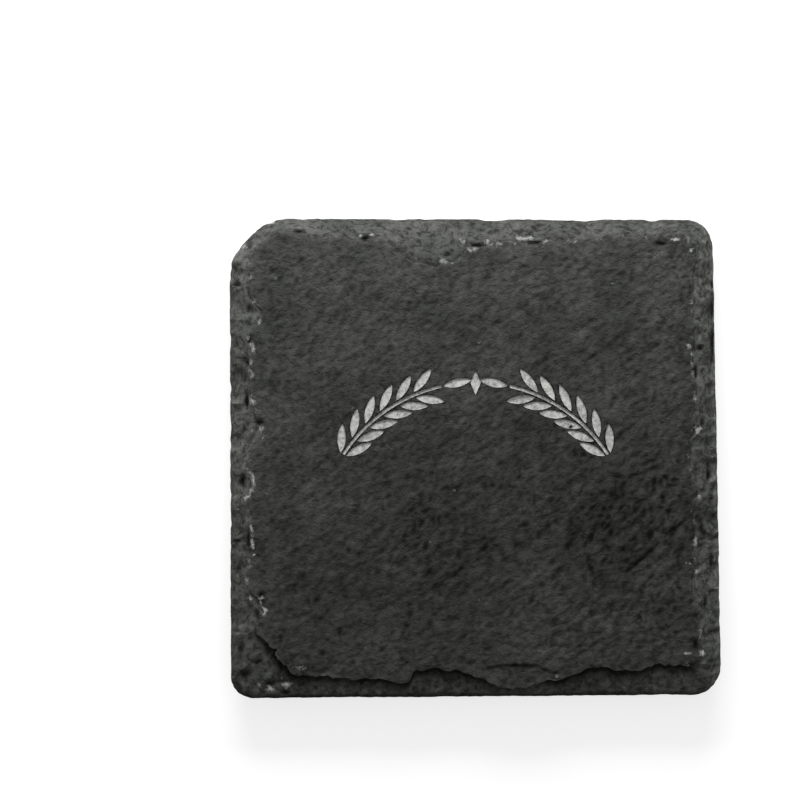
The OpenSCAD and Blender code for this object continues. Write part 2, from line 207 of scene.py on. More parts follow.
# By place, how pale the slab's outer edge is beside the rest of the broken edge, partly worn stone and
# partly a painted highlight where the edge catches the light, and how far in that reaches. The front's
# is a dark line of painted shade, where the edge faces away from the light.
EDGE_HIGHLIGHT_AND_SHADE = np.array([
    [0.03, 0.15], [0.30, 0.10], [0.45, 0.15], [0.85, 0.20], [0.95, 0.40], [1.05, 1.80],
    [1.65, 1.80], [1.72, 2.10], [1.90, 2.10], [1.97, 1.30], [2.05, 0.65], [2.95, 0.65],
    [3.05, 1.20], [3.93, 1.05],
])
EDGE_SHADING_REACH = np.array([[0.00, 0.60], [0.93, 0.55], [1.05, 1.00], [2.00, 0.70], [3.95, 0.65]])
# How much of that painted highlight and shade the side below it takes on
WALL_SHADING_SHARE = 0.4
# The darkest that the stone's tone may be
LEAST_TONE = 0.1
# Depth left on the ridges, as a share of the deepest, and how squarely a scar's middle is scooped
RIDGE_SHARE = 0.5
SCOOP_POWER = 0.6

# The underside's broken edge, in the same way
UNDER_LINE = np.array([
    [0.00, 2.4], [0.10, 1.9], [0.20, 2.4], [0.33, 1.6], [0.47, 2.6], [0.60, 1.8], [0.72, 2.4],
    [0.83, 2.0], [0.93, 2.8], [1.03, 2.4], [1.10, 1.8], [1.16, 3.4], [1.27, 4.0], [1.37, 3.2],
    [1.52, 3.8], [1.60, 2.6], [1.70, 2.8], [1.78, 1.8], [1.88, 2.6], [1.96, 3.2], [2.05, 3.8],
    [2.15, 3.4], [2.34, 4.0], [2.44, 3.4], [2.55, 4.0], [2.76, 3.4], [2.86, 4.0], [2.95, 2.8],
    [3.06, 2.2], [3.20, 1.6], [3.33, 2.2], [3.45, 1.7], [3.57, 2.4], [3.70, 1.6], [3.83, 2.4],
    [3.94, 1.8],
])
UNDER_SCARS = np.array([
    [0.00, 0.70], [0.07, 0.90], [0.15, 0.75], [0.26, 0.90], [0.31, 0.70], [0.42, 0.85],
    [0.50, 0.75], [0.61, 0.90], [0.68, 0.80], [0.79, 0.70], [0.86, 0.90], [0.96, 0.75],
    [1.05, 0.85], [1.13, 0.70], [1.24, 0.95], [1.38, 0.80], [1.47, 0.90], [1.61, 0.75],
    [1.68, 0.85], [1.80, 0.70], [1.91, 0.90], [2.00, 0.80], [2.09, 0.95], [2.16, 0.75],
    [2.28, 0.90], [2.35, 0.80], [2.47, 1.00], [2.55, 0.75], [2.67, 0.90], [2.74, 0.80],
    [2.85, 0.95], [2.96, 0.75], [3.04, 0.85], [3.13, 0.70], [3.22, 0.90], [3.34, 0.75],
    [3.41, 0.85], [3.53, 0.70], [3.62, 0.90], [3.75, 0.80], [3.88, 0.90],
])

# Where the edge of the top was struck and crushed to a pale powder: the spot, its reach along X
# and Y, and how much of it is crushed, from 0 to 1
CRUSHED = np.array([
    # Left
    [-46.2, 24.7, 0.5, 0.9, 1.0], [-45.2, 22.4, 0.5, 1.3, 0.9], [-45.6, 19.7, 0.6, 0.8, 1.0],
    [-45.4, 11.7, 0.7, 1.6, 1.0], [-45.2, 5.8, 0.5, 0.7, 0.7], [-43.2, 4.6, 0.5, 0.7, 0.8],
    [-45.1, -4.4, 0.5, 1.3, 1.0], [-46.6, -8.0, 0.7, 0.6, 0.9], [-48.4, -10.3, 0.8, 0.6, 0.7],
    [-45.2, -17.6, 0.5, 1.4, 0.9], [-44.8, -19.4, 0.6, 0.5, 0.9], [-45.6, -28.2, 0.5, 0.8, 0.9],
    [-43.2, -28.1, 0.5, 0.5, 0.9], [-42.8, -30.9, 0.7, 1.0, 1.0], [-45.6, 36.8, 0.5, 1.5, 0.7],
    # Back
    [-47.0, 43.1, 1.0, 0.5, 0.8], [-41.5, 47.9, 1.6, 0.4, 0.7], [-23.4, 45.3, 0.6, 0.5, 0.8],
    [-21.0, 45.5, 0.9, 0.4, 0.9], [-6.5, 40.2, 1.0, 0.9, 1.0], [-2.6, 44.4, 0.9, 0.8, 0.8],
    [2.2, 44.1, 1.0, 0.7, 0.8], [10.0, 44.8, 3.0, 0.5, 0.9], [34.6, 44.9, 0.4, 0.6, 0.6],
    [40.6, 44.6, 1.6, 0.4, 1.0], [43.8, 42.4, 0.6, 0.6, 0.9], [46.6, 44.3, 0.8, 0.6, 0.7],
    # Right
    [36.6, 41.3, 1.4, 1.0, 0.5], [43.8, 31.7, 0.6, 0.5, 0.9], [43.2, 22.9, 0.5, 1.0, 0.9],
    [44.0, 21.3, 0.5, 0.5, 0.9], [44.1, 17.3, 0.5, 1.0, 0.9], [44.5, 12.6, 0.5, 1.8, 0.7],
    [45.0, 5.8, 1.2, 1.5, 0.85], [45.3, -7.6, 0.5, 0.7, 0.9], [44.6, -16.8, 0.6, 1.6, 0.75],
    [43.2, -21.1, 0.9, 0.4, 0.8], [44.8, -23.0, 0.7, 0.7, 0.9], [45.6, -35.4, 0.5, 1.3, 0.75],
    [46.0, -39.4, 0.7, 1.0, 1.0],
    # Front
    [43.0, -39.4, 1.0, 0.5, 0.8], [43.4, -42.0, 0.7, 0.5, 0.8], [16.7, -44.1, 0.7, 0.4, 0.8],
    [-35.4, -42.4, 1.3, 0.6, 0.8], [-38.3, -45.9, 1.4, 0.8, 1.0], [-41.4, -46.7, 1.4, 0.8, 0.9],
    [-43.8, -45.9, 0.5, 0.4, 0.8], [-36.8, -41.9, 0.8, 0.4, 0.6],
    # On the face
    [28.1, -6.6, 0.4, 1.3, 0.45], [23.2, -12.3, 0.4, 0.8, 0.45], [29.9, -14.8, 0.5, 0.5, 0.5],
])
# Gouges beside them, in the same way, and how deep the deepest is and how dark it is painted: a painted
# shade in its hollow
GOUGES = np.array([
    # Left
    [-48.5, 35.3, 1.0, 0.5, 0.7], [-49.5, 27.8, 0.5, 0.6, 0.4], [-46.0, 24.3, 0.5, 0.9, 0.9],
    [-47.4, 20.3, 1.5, 0.4, 0.6], [-46.1, 19.5, 0.7, 0.6, 1.0], [-48.2, 17.6, 1.2, 0.5, 0.45],
    [-46.4, 11.9, 0.4, 1.8, 0.9], [-43.8, 7.4, 1.0, 0.6, 0.7], [-47.2, -4.4, 0.5, 1.3, 0.8],
    [-48.3, -16.6, 1.2, 0.5, 0.5], [-46.1, -16.2, 0.4, 1.8, 0.8], [-43.5, -27.6, 0.5, 0.7, 0.8],
    [-44.4, -31.6, 0.5, 0.9, 0.7], [-48.0, -23.0, 0.9, 0.5, 0.4], [-45.9, 30.5, 0.5, 1.0, 0.6],
    # Back
    [-22.4, 44.6, 0.8, 0.5, 0.8], [-5.6, 41.5, 0.9, 0.5, 0.6], [0.4, 43.3, 1.6, 0.4, 0.7],
    [12.0, 43.8, 1.8, 0.4, 0.6], [37.5, 43.6, 1.4, 0.4, 0.7], [-36.0, 46.0, 1.2, 0.5, 0.5],
    # Right
    [48.0, 35.2, 0.3, 0.9, 0.9], [48.0, 30.5, 0.35, 2.5, 1.0], [48.05, 23.2, 0.35, 4.0, 1.0],
    [45.5, 22.5, 0.6, 0.6, 0.9], [44.6, 17.6, 0.4, 1.3, 0.9], [48.9, 16.8, 0.4, 0.7, 0.7],
    [46.0, 7.4, 0.5, 1.2, 0.7], [47.2, -3.0, 0.4, 1.8, 0.7], [45.8, -14.0, 0.5, 1.4, 0.7],
    [47.8, -20.5, 0.4, 2.0, 0.7], [46.6, -29.0, 0.5, 1.6, 0.7], [44.6, -37.6, 0.5, 0.9, 0.9],
    # Front left corner
    [-46.8, -43.6, 1.2, 0.8, 0.7], [-44.0, -41.2, 1.3, 0.6, 0.6], [-41.6, -45.4, 1.4, 0.5, 0.8],
    [-38.6, -47.4, 1.2, 0.4, 0.8], [-47.6, -38.6, 0.6, 1.2, 0.6],
])
GOUGE_DEPTH, GOUGE_SHADE = 0.6, 0.95
# Scuffs on the underside, in the same way
SCUFFED = np.array([
    [29.0, 23.8, 3.4, 1.8, 0.75], [30.6, 20.6, 1.4, 1.8, 0.70], [27.6, 2.6, 2.0, 3.8, 0.75],
    [30.6, -2.0, 2.6, 2.0, 0.85], [30.8, -28.9, 3.4, 0.9, 0.75], [32.0, -44.0, 2.4, 0.9, 0.75],
    [29.0, -45.6, 1.0, 0.8, 0.8], [-20.0, -12.0, 2.8, 1.0, 0.65], [-8.0, 18.0, 2.2, 0.9, 0.6],
])
# Steps where one thin layer of the top face ends: the line's two ends, how high the side on its
# left stands, and how far the low side takes to rise again
CLEAVAGE_STEPS = np.array([
    [30.0, -23.4, 37.0, -17.4, 0.32, 2.2], [37.6, -16.4, 44.2, -10.4, 0.30, 2.2],
    [27.5, -21.6, 33.5, -16.2, 0.14, 1.4], [1.2, -43.1, 5.0, -41.7, 0.30, 2.4],
    [4.6, -41.7, 12.8, -41.8, 0.40, 2.6], [11.8, -41.7, 17.2, -43.3, 0.30, 2.4],
    [-35.6, -42.4, -28.0, -42.9, 0.22, 1.0], [-17.0, -38.0, -12.8, -41.8, 0.30, 1.6],
    [-18.6, -43.2, -15.8, -43.5, 0.20, 0.8],
    [-31.4, 20.4, -25.2, 30.7, 0.16, 2.4], [-38.0, -6.0, -23.0, 5.5, 0.12, 2.0],
    [-16.0, -31.0, 3.0, -18.5, 0.14, 2.6], [-33.0, -37.0, -14.0, -27.5, 0.12, 2.4],
    [12.0, -38.0, 29.0, -29.0, 0.14, 2.2], [-6.0, 21.5, 11.0, 32.5, 0.12, 2.6],
    [19.0, 17.0, 35.0, 29.5, 0.14, 2.4], [14.0, -6.0, 31.0, 6.0, 0.12, 2.0],
    [-41.0, -24.0, -30.0, -16.0, 0.14, 2.0],
])
# How dark the painted shade along the steps' lines is, for each millimetre of their height
CREVICE_SHADE = 2.2
# Soft clouds in the stone's grey: the middle, the reach along X and Y, and how much paler. They are
# mostly painted light: paler to the back, nearest the lamp, darkest about the middle and a little paler
# to the front. They are partly the stone's own clouding.
CLOUDS_AND_PAINTED_LIGHT = np.array([
    [0, 52, 120, 42, 0.57], [-46, 28, 40, 40, 0.10], [-46, -8, 18, 26, 0.18],
    [-8, -16, 10, 11, -0.34], [29, -11, 17, 11, -0.52], [0, -42, 60, 12, 0.15],
    [46, -37, 14, 10, 0.15], [-22, 45, 24, 6, 0.20],
])
# Where the face is more mottled than elsewhere
MOTTLED = np.array([[33, -12, 15, 14, 0.25], [34, -32, 16, 8, 0.2]])
# How much paler the underside grows for each millimetre of Y
UNDER_FADE = 0.006
# The way the top's grain runs, up from +X, in its long streaks and in its small wrinkles
GRAIN_ANGLE = 40
WRINKLE_ANGLE = 14

# The engraved leaf arch, and the points along each of a leaf's and a stem's arcs
ENGRAVE_DEPTH = 0.2
ARCH_R = 32
ARCH_CENTRE = np.array([0, -16.5])
ARCH_HALF_ANGLE = 57
STEM_TOP_ANGLE = 12.5
STEM_W = 0.6
LEAF_L = 6
LEAF_W = 1.7
LEAF_PAIRS = 6
LEAF_LEAN = 30
LEAF_GAP = 0.6
LOZENGE = np.array([1.1, 2.5])
LEAF_POINTS, STEM_POINTS = 13, 41

# The foam pads' mesh: cells across a face, rows down the side, the pressed lower edge's radius
# and how far the side draws in at its waist
PAD_ACROSS = 52
PAD_SIDE_ROWS = 12
PAD_EDGE_R = 0.4
PAD_WAIST = 0.12
# The stone is flat under the pads, and as rough as elsewhere from this far outside them
PAD_CLEARANCE = 2
# Sizes and depths of the foam's open cells: small and large ones below, and those in the side
SMALL_CELLS, LARGE_CELLS, SIDE_CELLS = (0.75, 0.16), (1.6, 0.10), (0.7, 0.14)
# The cells' places are drawn once from this seed, and repeat after this many cells
CELL_SEED, CELL_REPEAT = 90, 64

# Colours, the pairs from the darkest to the palest
FACE_SLATE = (0.0260, 0.0273, 0.0249, 1), (0.0366, 0.0372, 0.0349, 1)
UNDER_SLATE = (0.0162, 0.0172, 0.0170, 1), (0.0258, 0.0271, 0.0268, 1)
POWDER = (0.38, 0.38, 0.36, 1)
ETCHED = (0.24, 0.24, 0.23, 1), (0.56, 0.56, 0.54, 1)
FOAM = (0.0085, 0.009, 0.0075, 1), (0.020, 0.0205, 0.0165, 1)
FOAM_GRANULES = (0.036, 0.036, 0.029, 1)
FILM = (0.20, 0.20, 0.18, 1), (0.32, 0.32, 0.29, 1)

# Strength of the white surroundings where they light things, the soft lamps' places, sizes and
# watts, and the floor's own colour and glow
WORLD_FILL = 0.35
KEY_PLACE, KEY_SIZE, KEY_WATTS = (-0.02, 0.30, 0.15), (0.30, 0.12), 1.7
UNDER_PLACE, UNDER_SIZE, UNDER_WATTS = (0.03, 0.20, -0.12), (0.22, 0.12), 0.6
FLOOR_HALF = 6
FLOOR_GREY = 0.5
FLOOR_GLOW = 0.71

# The photograph's frame: its width, the pixel of the slab's middle, the scale, and how far off
# the camera stands
IMAGE_SIZE = 800
SLAB_PIXEL = np.array([475.6, 459])
PIXELS_PER_MM = 4.93
CAMERA_DISTANCE = 3
SENSOR_WIDTH = 36


def ease(x):
    """The smooth step from 0 to 1: 3x² - 2x³, held at its ends."""
    x = np.clip(x, 0, 1)
    return x * x * (3 - 2 * x)


def noise(x, y, seed, around=NOISE_CELLS):
    """Smooth random heights, mostly within -1 to 1, that repeat after this many cells of x.

    A random slope stands at each whole-numbered corner. In each cell the heights of its four
    slopes are blended with the curve 3u² - 2u³ in x and in y.
    """
    turn = np.random.default_rng(seed).uniform(0, 2 * np.pi, (around, NOISE_CELLS))
    column, row = np.floor(x).astype(int), np.floor(y).astype(int)
    across, up = x - column, y - row

    def corner(i, j):
        angle = turn[(column + i) % around, (row + j) % NOISE_CELLS]
        return np.cos(angle) * (across - i) + np.sin(angle) * (up - j)

    u, v = ease(across), ease(up)
    low = corner(0, 0) * (1 - u) + corner(1, 0) * u
    high = corner(0, 1) * (1 - u) + corner(1, 1) * u
    return 1.5 * (low * (1 - v) + high * v)


def layered(x, y, seed, layers):
    """Noise summed over layers, each at twice the last one's frequency and half its height."""
    return sum(noise(x * 2 ** n, y * 2 ** n, seed + n) / 2 ** n for n in range(layers))


def creased(height):
    """Noise turned into round hollows, up to 1, that meet in sharp ridges, at -0.5."""
    return 2 * np.abs(height) - 0.5


def bell(distance, reach):
    """A bell of height 1: e to the minus squared distance, in reaches."""
    return np.exp(-(distance / reach) ** 2)


def turned(x, y, degrees):
    """Coordinates along and across a direction this many degrees up from +X."""
    c, s = math.cos(math.radians(degrees)), math.sin(math.radians(degrees))
    return x * c + y * s, y * c - x * s


def terraced(height, tread, riser_share):
    """A height with each tread's rise drawn together into its last part, this share of it."""
    step = np.floor(height / tread)
    return tread * (step + ease((height / tread - step - 1 + riser_share) / riser_share))


def layer_broken(depth, phase, tread, rough):
    """A depth partly drawn into treads, as the stone's layers break, where it is rough."""
    treads = terraced(depth + phase, tread, TREAD_RISER) - phase
    return depth + TREAD_SHARE * rough * (treads - depth)


def by_place(table, place):
    """A table's second column at places round the edge, in straight runs between its rows."""
    return np.interp(place, table[:, 0], table[:, 1], period=4)


def scoops(place, scars):
    """Depth of the scars, as a share of the deepest: ridges between them and scooped middles.

    With u from 0 to 1 along a scar, its depth is the ridge's and the rest of the way to its own
    times (4u(1 - u))^SCOOP_POWER.
    """
    starts = np.append(scars[:, 0], 4)
    order = np.interp(place % 4, starts, np.arange(len(starts)))
    u = order % 1
    share = scars[order.astype(int) % len(scars), 1]
    return RIDGE_SHARE + (share - RIDGE_SHARE) * (4 * u * (1 - u)) ** SCOOP_POWER


def square_at(place):
    """The unit square's edge point: (f, -1), (1, f), (-f, 1) or (-1, -f), f from -1 to 1."""
    side, f = np.floor(place).astype(int) % 4, 2 * (place % 1) - 1
    one = np.ones_like(f)
    return np.stack([np.choose(side, [f, one, -f, -one]), np.choose(side, [-one, f, one, -f])], -1)


def dressed(q):
    """Points moved with the four dressed corners, each shift weighted by nearness to its corner."""
    weights = np.prod(1 + CORNER_SIGNS * (q / HALF)[..., None, :], axis=-1) / 4
    return q + weights @ CORNER_SHIFTS


def outline(place):
    """The rectangle's edge point, drawn in along its ray to the corner's arc, then dressed.

    On the ray through q the arc of radius r about c is met at the share
    (u·c + sqrt((u·c)² - u²(c² - r²))) / u² of q, where u is |q|. The clipped corner is a
    straight cut, met where |x| + |y| falls short of the full corner by the clip. The lesser of
    the two shares is taken, less h²·CLIP_EASE/4 where they are close and h runs up to 1.
    """
    q = square_at(place) * HALF
    u = np.abs(q)
    corner = np.where(q[..., 1] < 0, np.where(q[..., 0] < 0, 0, 1), np.where(q[..., 0] < 0, 3, 2))
    r = CORNER_RADII[corner][..., None]
    c = HALF - r
    dot, square = (u * c).sum(-1), (u * u).sum(-1)
    root = np.sqrt(np.maximum(0, dot ** 2 - square * ((c * c).sum(-1) - r[..., 0] ** 2)))
    share = np.where((u <= c).any(-1), 1, (dot + root) / square)
    clip = (HALF.sum() - CORNER_CLIP) / u.sum(-1)
    closeness = np.maximum(0, 1 - np.abs(1 - clip) / CLIP_EASE)
    clipped = np.minimum(1, clip) - closeness ** 2 * CLIP_EASE / 4
    share = np.where(corner == CLIPPED_CORNER, clipped, share)
    return dressed(q * share[..., None])


def plan(place, inset):
    """The point this far in from the outline, on the line to the nearest point of the core.

    The core is the rectangle that lies the fan's reach inside the sides.
    """
    edge = outline(place)
    core = np.clip(edge, FAN_REACH - HALF, HALF - FAN_REACH)
    return edge + (core - edge) * (inset / FAN_REACH)[..., None]


def ring_noise(place, cell, row, seed):
    """Noise along the edge with cells of about this many millimetres, closed round the slab."""
    around = round(ROUND_LENGTH / cell)
    return noise(place * around / 4, row, seed, around)


def bites(place, seed):
    """Small nibbles along a broken line, in three sizes. They bite in more than they leave out."""
    small = 0.4 * ring_noise(place, 2.3, 0.5, seed) + 0.28 * ring_noise(place, 1.1, 0.5, seed + 1)
    return np.maximum(small, -0.25) + 0.25 * ring_noise(place, 7, 0.5, seed + 2)


def nicks(place):
    """How deep the outline is nicked: noise in two sizes, cut off at 0 and at its full depth."""
    mixed = 0.7 * ring_noise(place, 4, 0.5, 15) + 0.5 * ring_noise(place, 1.6, 0.5, 16)
    return by_place(NICKS, place) * np.clip(0.15 + mixed, 0, 1)


def side_inset(place, row):
    """How far the broken side wanders in from the outline: 0 to about SIDE_ROUGH, in 3 sizes,
    and deeper in the nicks."""
    mixed = (
        0.5 * ring_noise(place, 9, row, 11)
        + 0.4 * ring_noise(place, 3, row, 12)
        + 0.3 * ring_noise(place, 1.1, row, 13)
    )
    return nicks(place) + SIDE_ROUGH * np.clip(0.45 + 0.6 * mixed, 0.02, 1.2)


def smoothed(values, reach):
    """The running mean of a closed ring of values, this many stations either way."""
    window = np.ones(2 * reach + 1) / (2 * reach + 1)
    return np.convolve(np.concatenate([values[-reach:], values, values[:reach]]), window, "valid")


def margin_end(width, margin, least):
    """Where a face's grid begins: its smoothed broken line and a margin, or the least one."""
    return np.maximum(smoothed(width, SMOOTH_STATIONS) + margin, width + least)


def cleavage(x, y):
    """How far the low sides of the cleavage steps lie below their high sides, and the painted shade at
    their risers.

    Across a step's line the drop comes in over its riser and dies away exponentially, and the painted
    shade is a bell on the riser's foot. Along the line both are a half sine's root, and the line itself
    wavers.
    """
    riser, waver = 0.3, 0.5
    drop, shade = 0, 0
    for x0, y0, x1, y1, height, reach in CLEAVAGE_STEPS:
        length = math.hypot(x1 - x0, y1 - y0)
        ahead_x, ahead_y = (x1 - x0) / length, (y1 - y0) / length
        run = (x - x0) * ahead_x + (y - y0) * ahead_y
        below = (x - x0) * ahead_y - (y - y0) * ahead_x + waver * noise(x / 2.2, y / 2.2, 37)
        along = height * np.sin(np.pi * np.clip(run / length, 0, 1)) ** 0.5
        drop = drop + along * ease(below / riser + 0.5) * np.exp(-np.maximum(0, below) / reach)
        # The painted shade: a dark bell at each riser's foot, where the step shades the stone
        shade = shade + along * bell(below - riser / 2, riser)
    return drop, shade


def face_relief(x, y):
    """How far the cleft top face lies below its highest plane.

    It sums a slow swell, clumps, slanting streaks, flatter wrinkles, short hollows, a fine grain,
    thin sheets that end in small steps, and the longer cleavage steps, and all of it goes down
    from the plane.
    """
    run, across = turned(x, y, GRAIN_ANGLE)
    flat_run, flat_across = turned(x, y, WRINKLE_ANGLE)
    bend = 1.2 * noise(x / 14, y / 14, 35)
    swell = 0.09 * layered(x / 34, y / 30, 31, 2)
    clumps = 0.08 * noise(x / 5.5, (y + bend) / 3.5, 36)
    streaks = 0.11 * noise(run / 3.4, (across + bend) / 1.7, 32)
    wrinkles = 0.08 * noise(flat_run / 2.3, (flat_across + bend) / 1.15, 39)
    hollows = 0.08 * creased(noise(run / 2.0, (across + bend) / 1.3, 33))
    fine = 0.06 * noise(run / 1.15, across / 0.9, 38)
    sheets = 0.9 * layered(run / 26, (across + bend) / 11, 34, 3)
    sheets = 0.05 * terraced(sheets + 3, 0.22, 0.12) / 0.22
    total = FACE_SINK + swell + clumps + streaks + wrinkles + hollows + fine - 0.25 * (sheets - 0.7)
    return np.maximum(0, total + cleavage(x, y)[0])


def mottling_and_shade(x, y):
    """How much paler the top face is in places: pale wrinkles, slanting streaks and patches, less a
    painted shade along the cleavage steps."""
    run, across = turned(x, y, GRAIN_ANGLE)
    flat_run, flat_across = turned(x, y, WRINKLE_ANGLE)
    curl = 0.7 * noise(x / 2.8, y / 2.8, 70)
    wrinkles = 0.3 - np.abs(noise((flat_run + curl) / 1.5, (flat_across + curl) / 1.2, 64))
    streaks = noise((run + curl) / 2.6, across / 1.2, 65)
    patches = noise(run / 7, across / 3, 66)
    drifts = noise(run / 16, across / 6, 69)
    strength = 1 + bells(x, y, MOTTLED).sum(-1)
    mottled = 1.1 * wrinkles + 0.5 * streaks + 0.12 * patches + 0.10 * drifts
    # The mottling, less the painted shade along the cleavage steps
    return strength * mottled - CREVICE_SHADE * cleavage(x, y)[1]


def under_bend(x, y):
    """How far the underside's ripples stray from straight lines."""
    return 2.2 * noise(x / 16, y / 9, 41) + 0.7 * noise(x / 5, y / 3, 42)


def under_relief(x, y):
    """How far the cleft underside lies above its lowest plane: a slow swell, thin sheets that end
    in small steps, and ripples that run left to right."""
    bend = under_bend(x, y)
    ripples = 0.16 * noise(x / 8, (y + bend) / 2.2, 43) + 0.08 * noise(x / 3.5, (y + bend) / 1.3, 44)
    swell = 0.08 * layered(x / 30, y / 22, 45, 2)
    sheets = 0.7 * layered(x / 30, (y + bend) / 9, 46, 3)
    sheets = 0.10 * terraced(sheets + 3, 0.25, 0.15) / 0.25
    relief = np.maximum(0, 0.22 + swell + ripples - 0.3 * (sheets - 1.2))
    return relief * pad_clearance(x, y)


def under_mottling(x, y):
    """How much paler the underside is in places: wavy streaks that run left to right, and a fade
    to the front."""
    bend = under_bend(x, y)
    streaks = noise(x / 7, (y + bend) / 1.7, 47)
    wrinkles = noise(x / 2.6, (y + bend) / 1.1, 48)
    patches = noise(x / 18, y / 13, 49)
    return 0.2 * streaks + 0.35 * wrinkles + 0.12 * patches + UNDER_FADE * y


def pad_place(corner):
    """A foam pad's middle, its radius, and the heights of its lower and upper face, as packed."""
    low, high = (np.array(c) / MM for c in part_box("foam_pad_" + corner))
    return (low + high)[:2] / 2, (high[0] - low[0]) / 2, low[2], high[2]


def pad_clearance(x, y):
    """0 under each foam pad, where the stone is flat, and 1 from PAD_CLEARANCE outside its rim."""
    clear = 1
    for corner in CORNERS:
        middle, radius, *_ = pad_place(corner)
        distance = np.hypot(x - middle[0], y - middle[1])
        clear = clear * ease((distance - radius) / PAD_CLEARANCE)
    return clear


def bells(x, y, spots):
    """Bells of height over each spot: e to the minus squared distance, in the spot's reaches."""
    away_x = (x[..., None] - spots[:, 0]) / spots[:, 2]
    away_y = (y[..., None] - spots[:, 1]) / spots[:, 3]
    return spots[:, 4] * np.exp(-away_x ** 2 - away_y ** 2)


def scar_drop(place, inset, edge, width, sheer):
    """Drop of the top's scars below the lip, out from the foot of the sheer step.

    The scoops' depth times the way out to the power SCAR_CURVE, deeper at a sheer step's foot
    by a bell and at the arris by a parabola. Near a corner the scoops give way to lumps. The
    whole is partly drawn into treads, as the stone's layers break, and creased hollows and a
    roughness in two sizes are added.
    """
    x, y = np.moveaxis(plan(place, inset), -1, 0)
    outward = (width - inset) / (width - edge)
    stray = RIDGE_STRAY * noise(x / 3.4, y / 3.4, 57)
    share = scoops(place + stray, TOP_SCARS)
    lumps = RIDGE_SHARE + CORNER_LUMPS * (0.5 + 0.5 * layered(x / 3.2, y / 3.2, 67, 2))
    share = share + (lumps - share) * ease(1.4 - np.abs(place - np.round(place)) / CORNER_SPAN)
    depth = np.maximum(sheer, TOP_BREAK_DEPTH * share)
    drop = sheer + (depth - sheer) * np.clip(outward, 0, 1) ** SCAR_CURVE
    drop = drop + FOOT_SHARE * sheer * bell(width - inset, FOOT_REACH)
    drop = drop + ARRIS_DEPTH * np.maximum(0, 1 - (inset - edge) / ARRIS_REACH) ** 2
    rough = ease(0.15 + outward * 4)
    drop = layer_broken(drop, 0.4 * noise(x / 5, y / 5, 55), TOP_TREAD, rough)
    hollows = 0.11 * creased(noise(x / 2.2, y / 1.9, 52)) + 0.05 * noise(x / 0.9, y / 0.8, 53)
    drop = drop + rough * (hollows + 0.04 * noise(x / 0.55, y / 0.55, 54))
    return LIP + np.clip(drop, 0.02, TOP_BREAK_DEPTH + ARRIS_DEPTH + 0.2)


def top_rings(place):
    """Rings from the margin on the face out over the broken edge: insets, drops and looks.

    The margin is the face's own relief with its lip drawn down exponentially. The sheer step is a few
    rings close together, and the scars follow. Broken goes from 0 to 1 across the lip with a noisy
    front. The tone goes with it. It is painted darker at a sheer step's foot by a bell, as the step's
    painted shadow. It takes on the outer edge's tone there by a flatter bell: partly worn stone, partly
    a painted highlight, and on the front a painted shade. Wear has a bell on the lip and one on the
    outer edge.
    """
    edge = side_inset(place, 0.5)
    width = np.maximum(LEAST_BREAK, by_place(TOP_LINE, place) + bites(place, 21))
    sheer = TOP_BREAK_DEPTH * by_place(SHEER_SHARES, place) * (0.8 + 0.2 * ring_noise(place, 6, 0.5, 63))
    lip_gap, lip_reach = 0.08, 0.5
    inner = margin_end(width, MARGIN, LEAST_MARGIN)

    share = np.linspace(1, 0, MARGIN_ROWS, endpoint=False)[:, None]
    margin = width + lip_gap + (inner - width - lip_gap) * share ** 1.3
    margin_drop = LIP * np.exp((width - margin) / lip_reach)

    share = np.linspace(0, 1, SHEER_ROWS, endpoint=False)[:, None]
    ledge = np.where(share > 0, 0.08 * ring_noise(place, 1.5, share * 5, 61), 0)
    step = width + lip_gap * (1 - share) * 0.7 + ledge
    step_drop = LIP + sheer * share

    outward = np.linspace(0, 1, SCAR_ROWS)[:, None] ** 1.1
    scar = width + (edge - width) * outward

    inset = np.vstack([margin, step, scar])
    drop = np.vstack([margin_drop, step_drop, scar_drop(place, scar, edge, width, sheer)])
    x, y = np.moveaxis(plan(place, inset), -1, 0)
    broken = ease((width - inset) / 1.4 + 0.4 + 0.6 * noise(x / 1.3, y / 1.3, 62))
    # Painted shadow: the tone is darkened at a sheer step's foot, where the step shades the stone below
    # it
    foot_shadow = bell(width - inset, FOOT_SHADE_REACH) * ease(2 * sheer - 0.6)
    tone = (1 + (by_place(FRESH, place) - 1) * broken) * (1 - FOOT_SHADE * foot_shadow * (inset <= width))
    # The outer edge's tone: partly worn stone, partly a painted highlight, and a painted shade along the
    # front
    at_edge = np.exp(-((inset - edge) / by_place(EDGE_SHADING_REACH, place)) ** 4)
    tone = tone * (1 + (by_place(EDGE_HIGHLIGHT_AND_SHADE, place) - 1) * at_edge)
    patchy = ease(0.5 + 0.9 * noise(x / 2.6, y / 2.6, 68))
    lip_wear = by_place(LIP_WEAR, place) * bell(width - inset, WEAR_REACH)
    edge_wear = by_place(EDGE_WEAR, place) * bell(inset - edge, WEAR_REACH)
    return inset, drop, broken, tone, np.maximum(lip_wear, edge_wear) * patchy


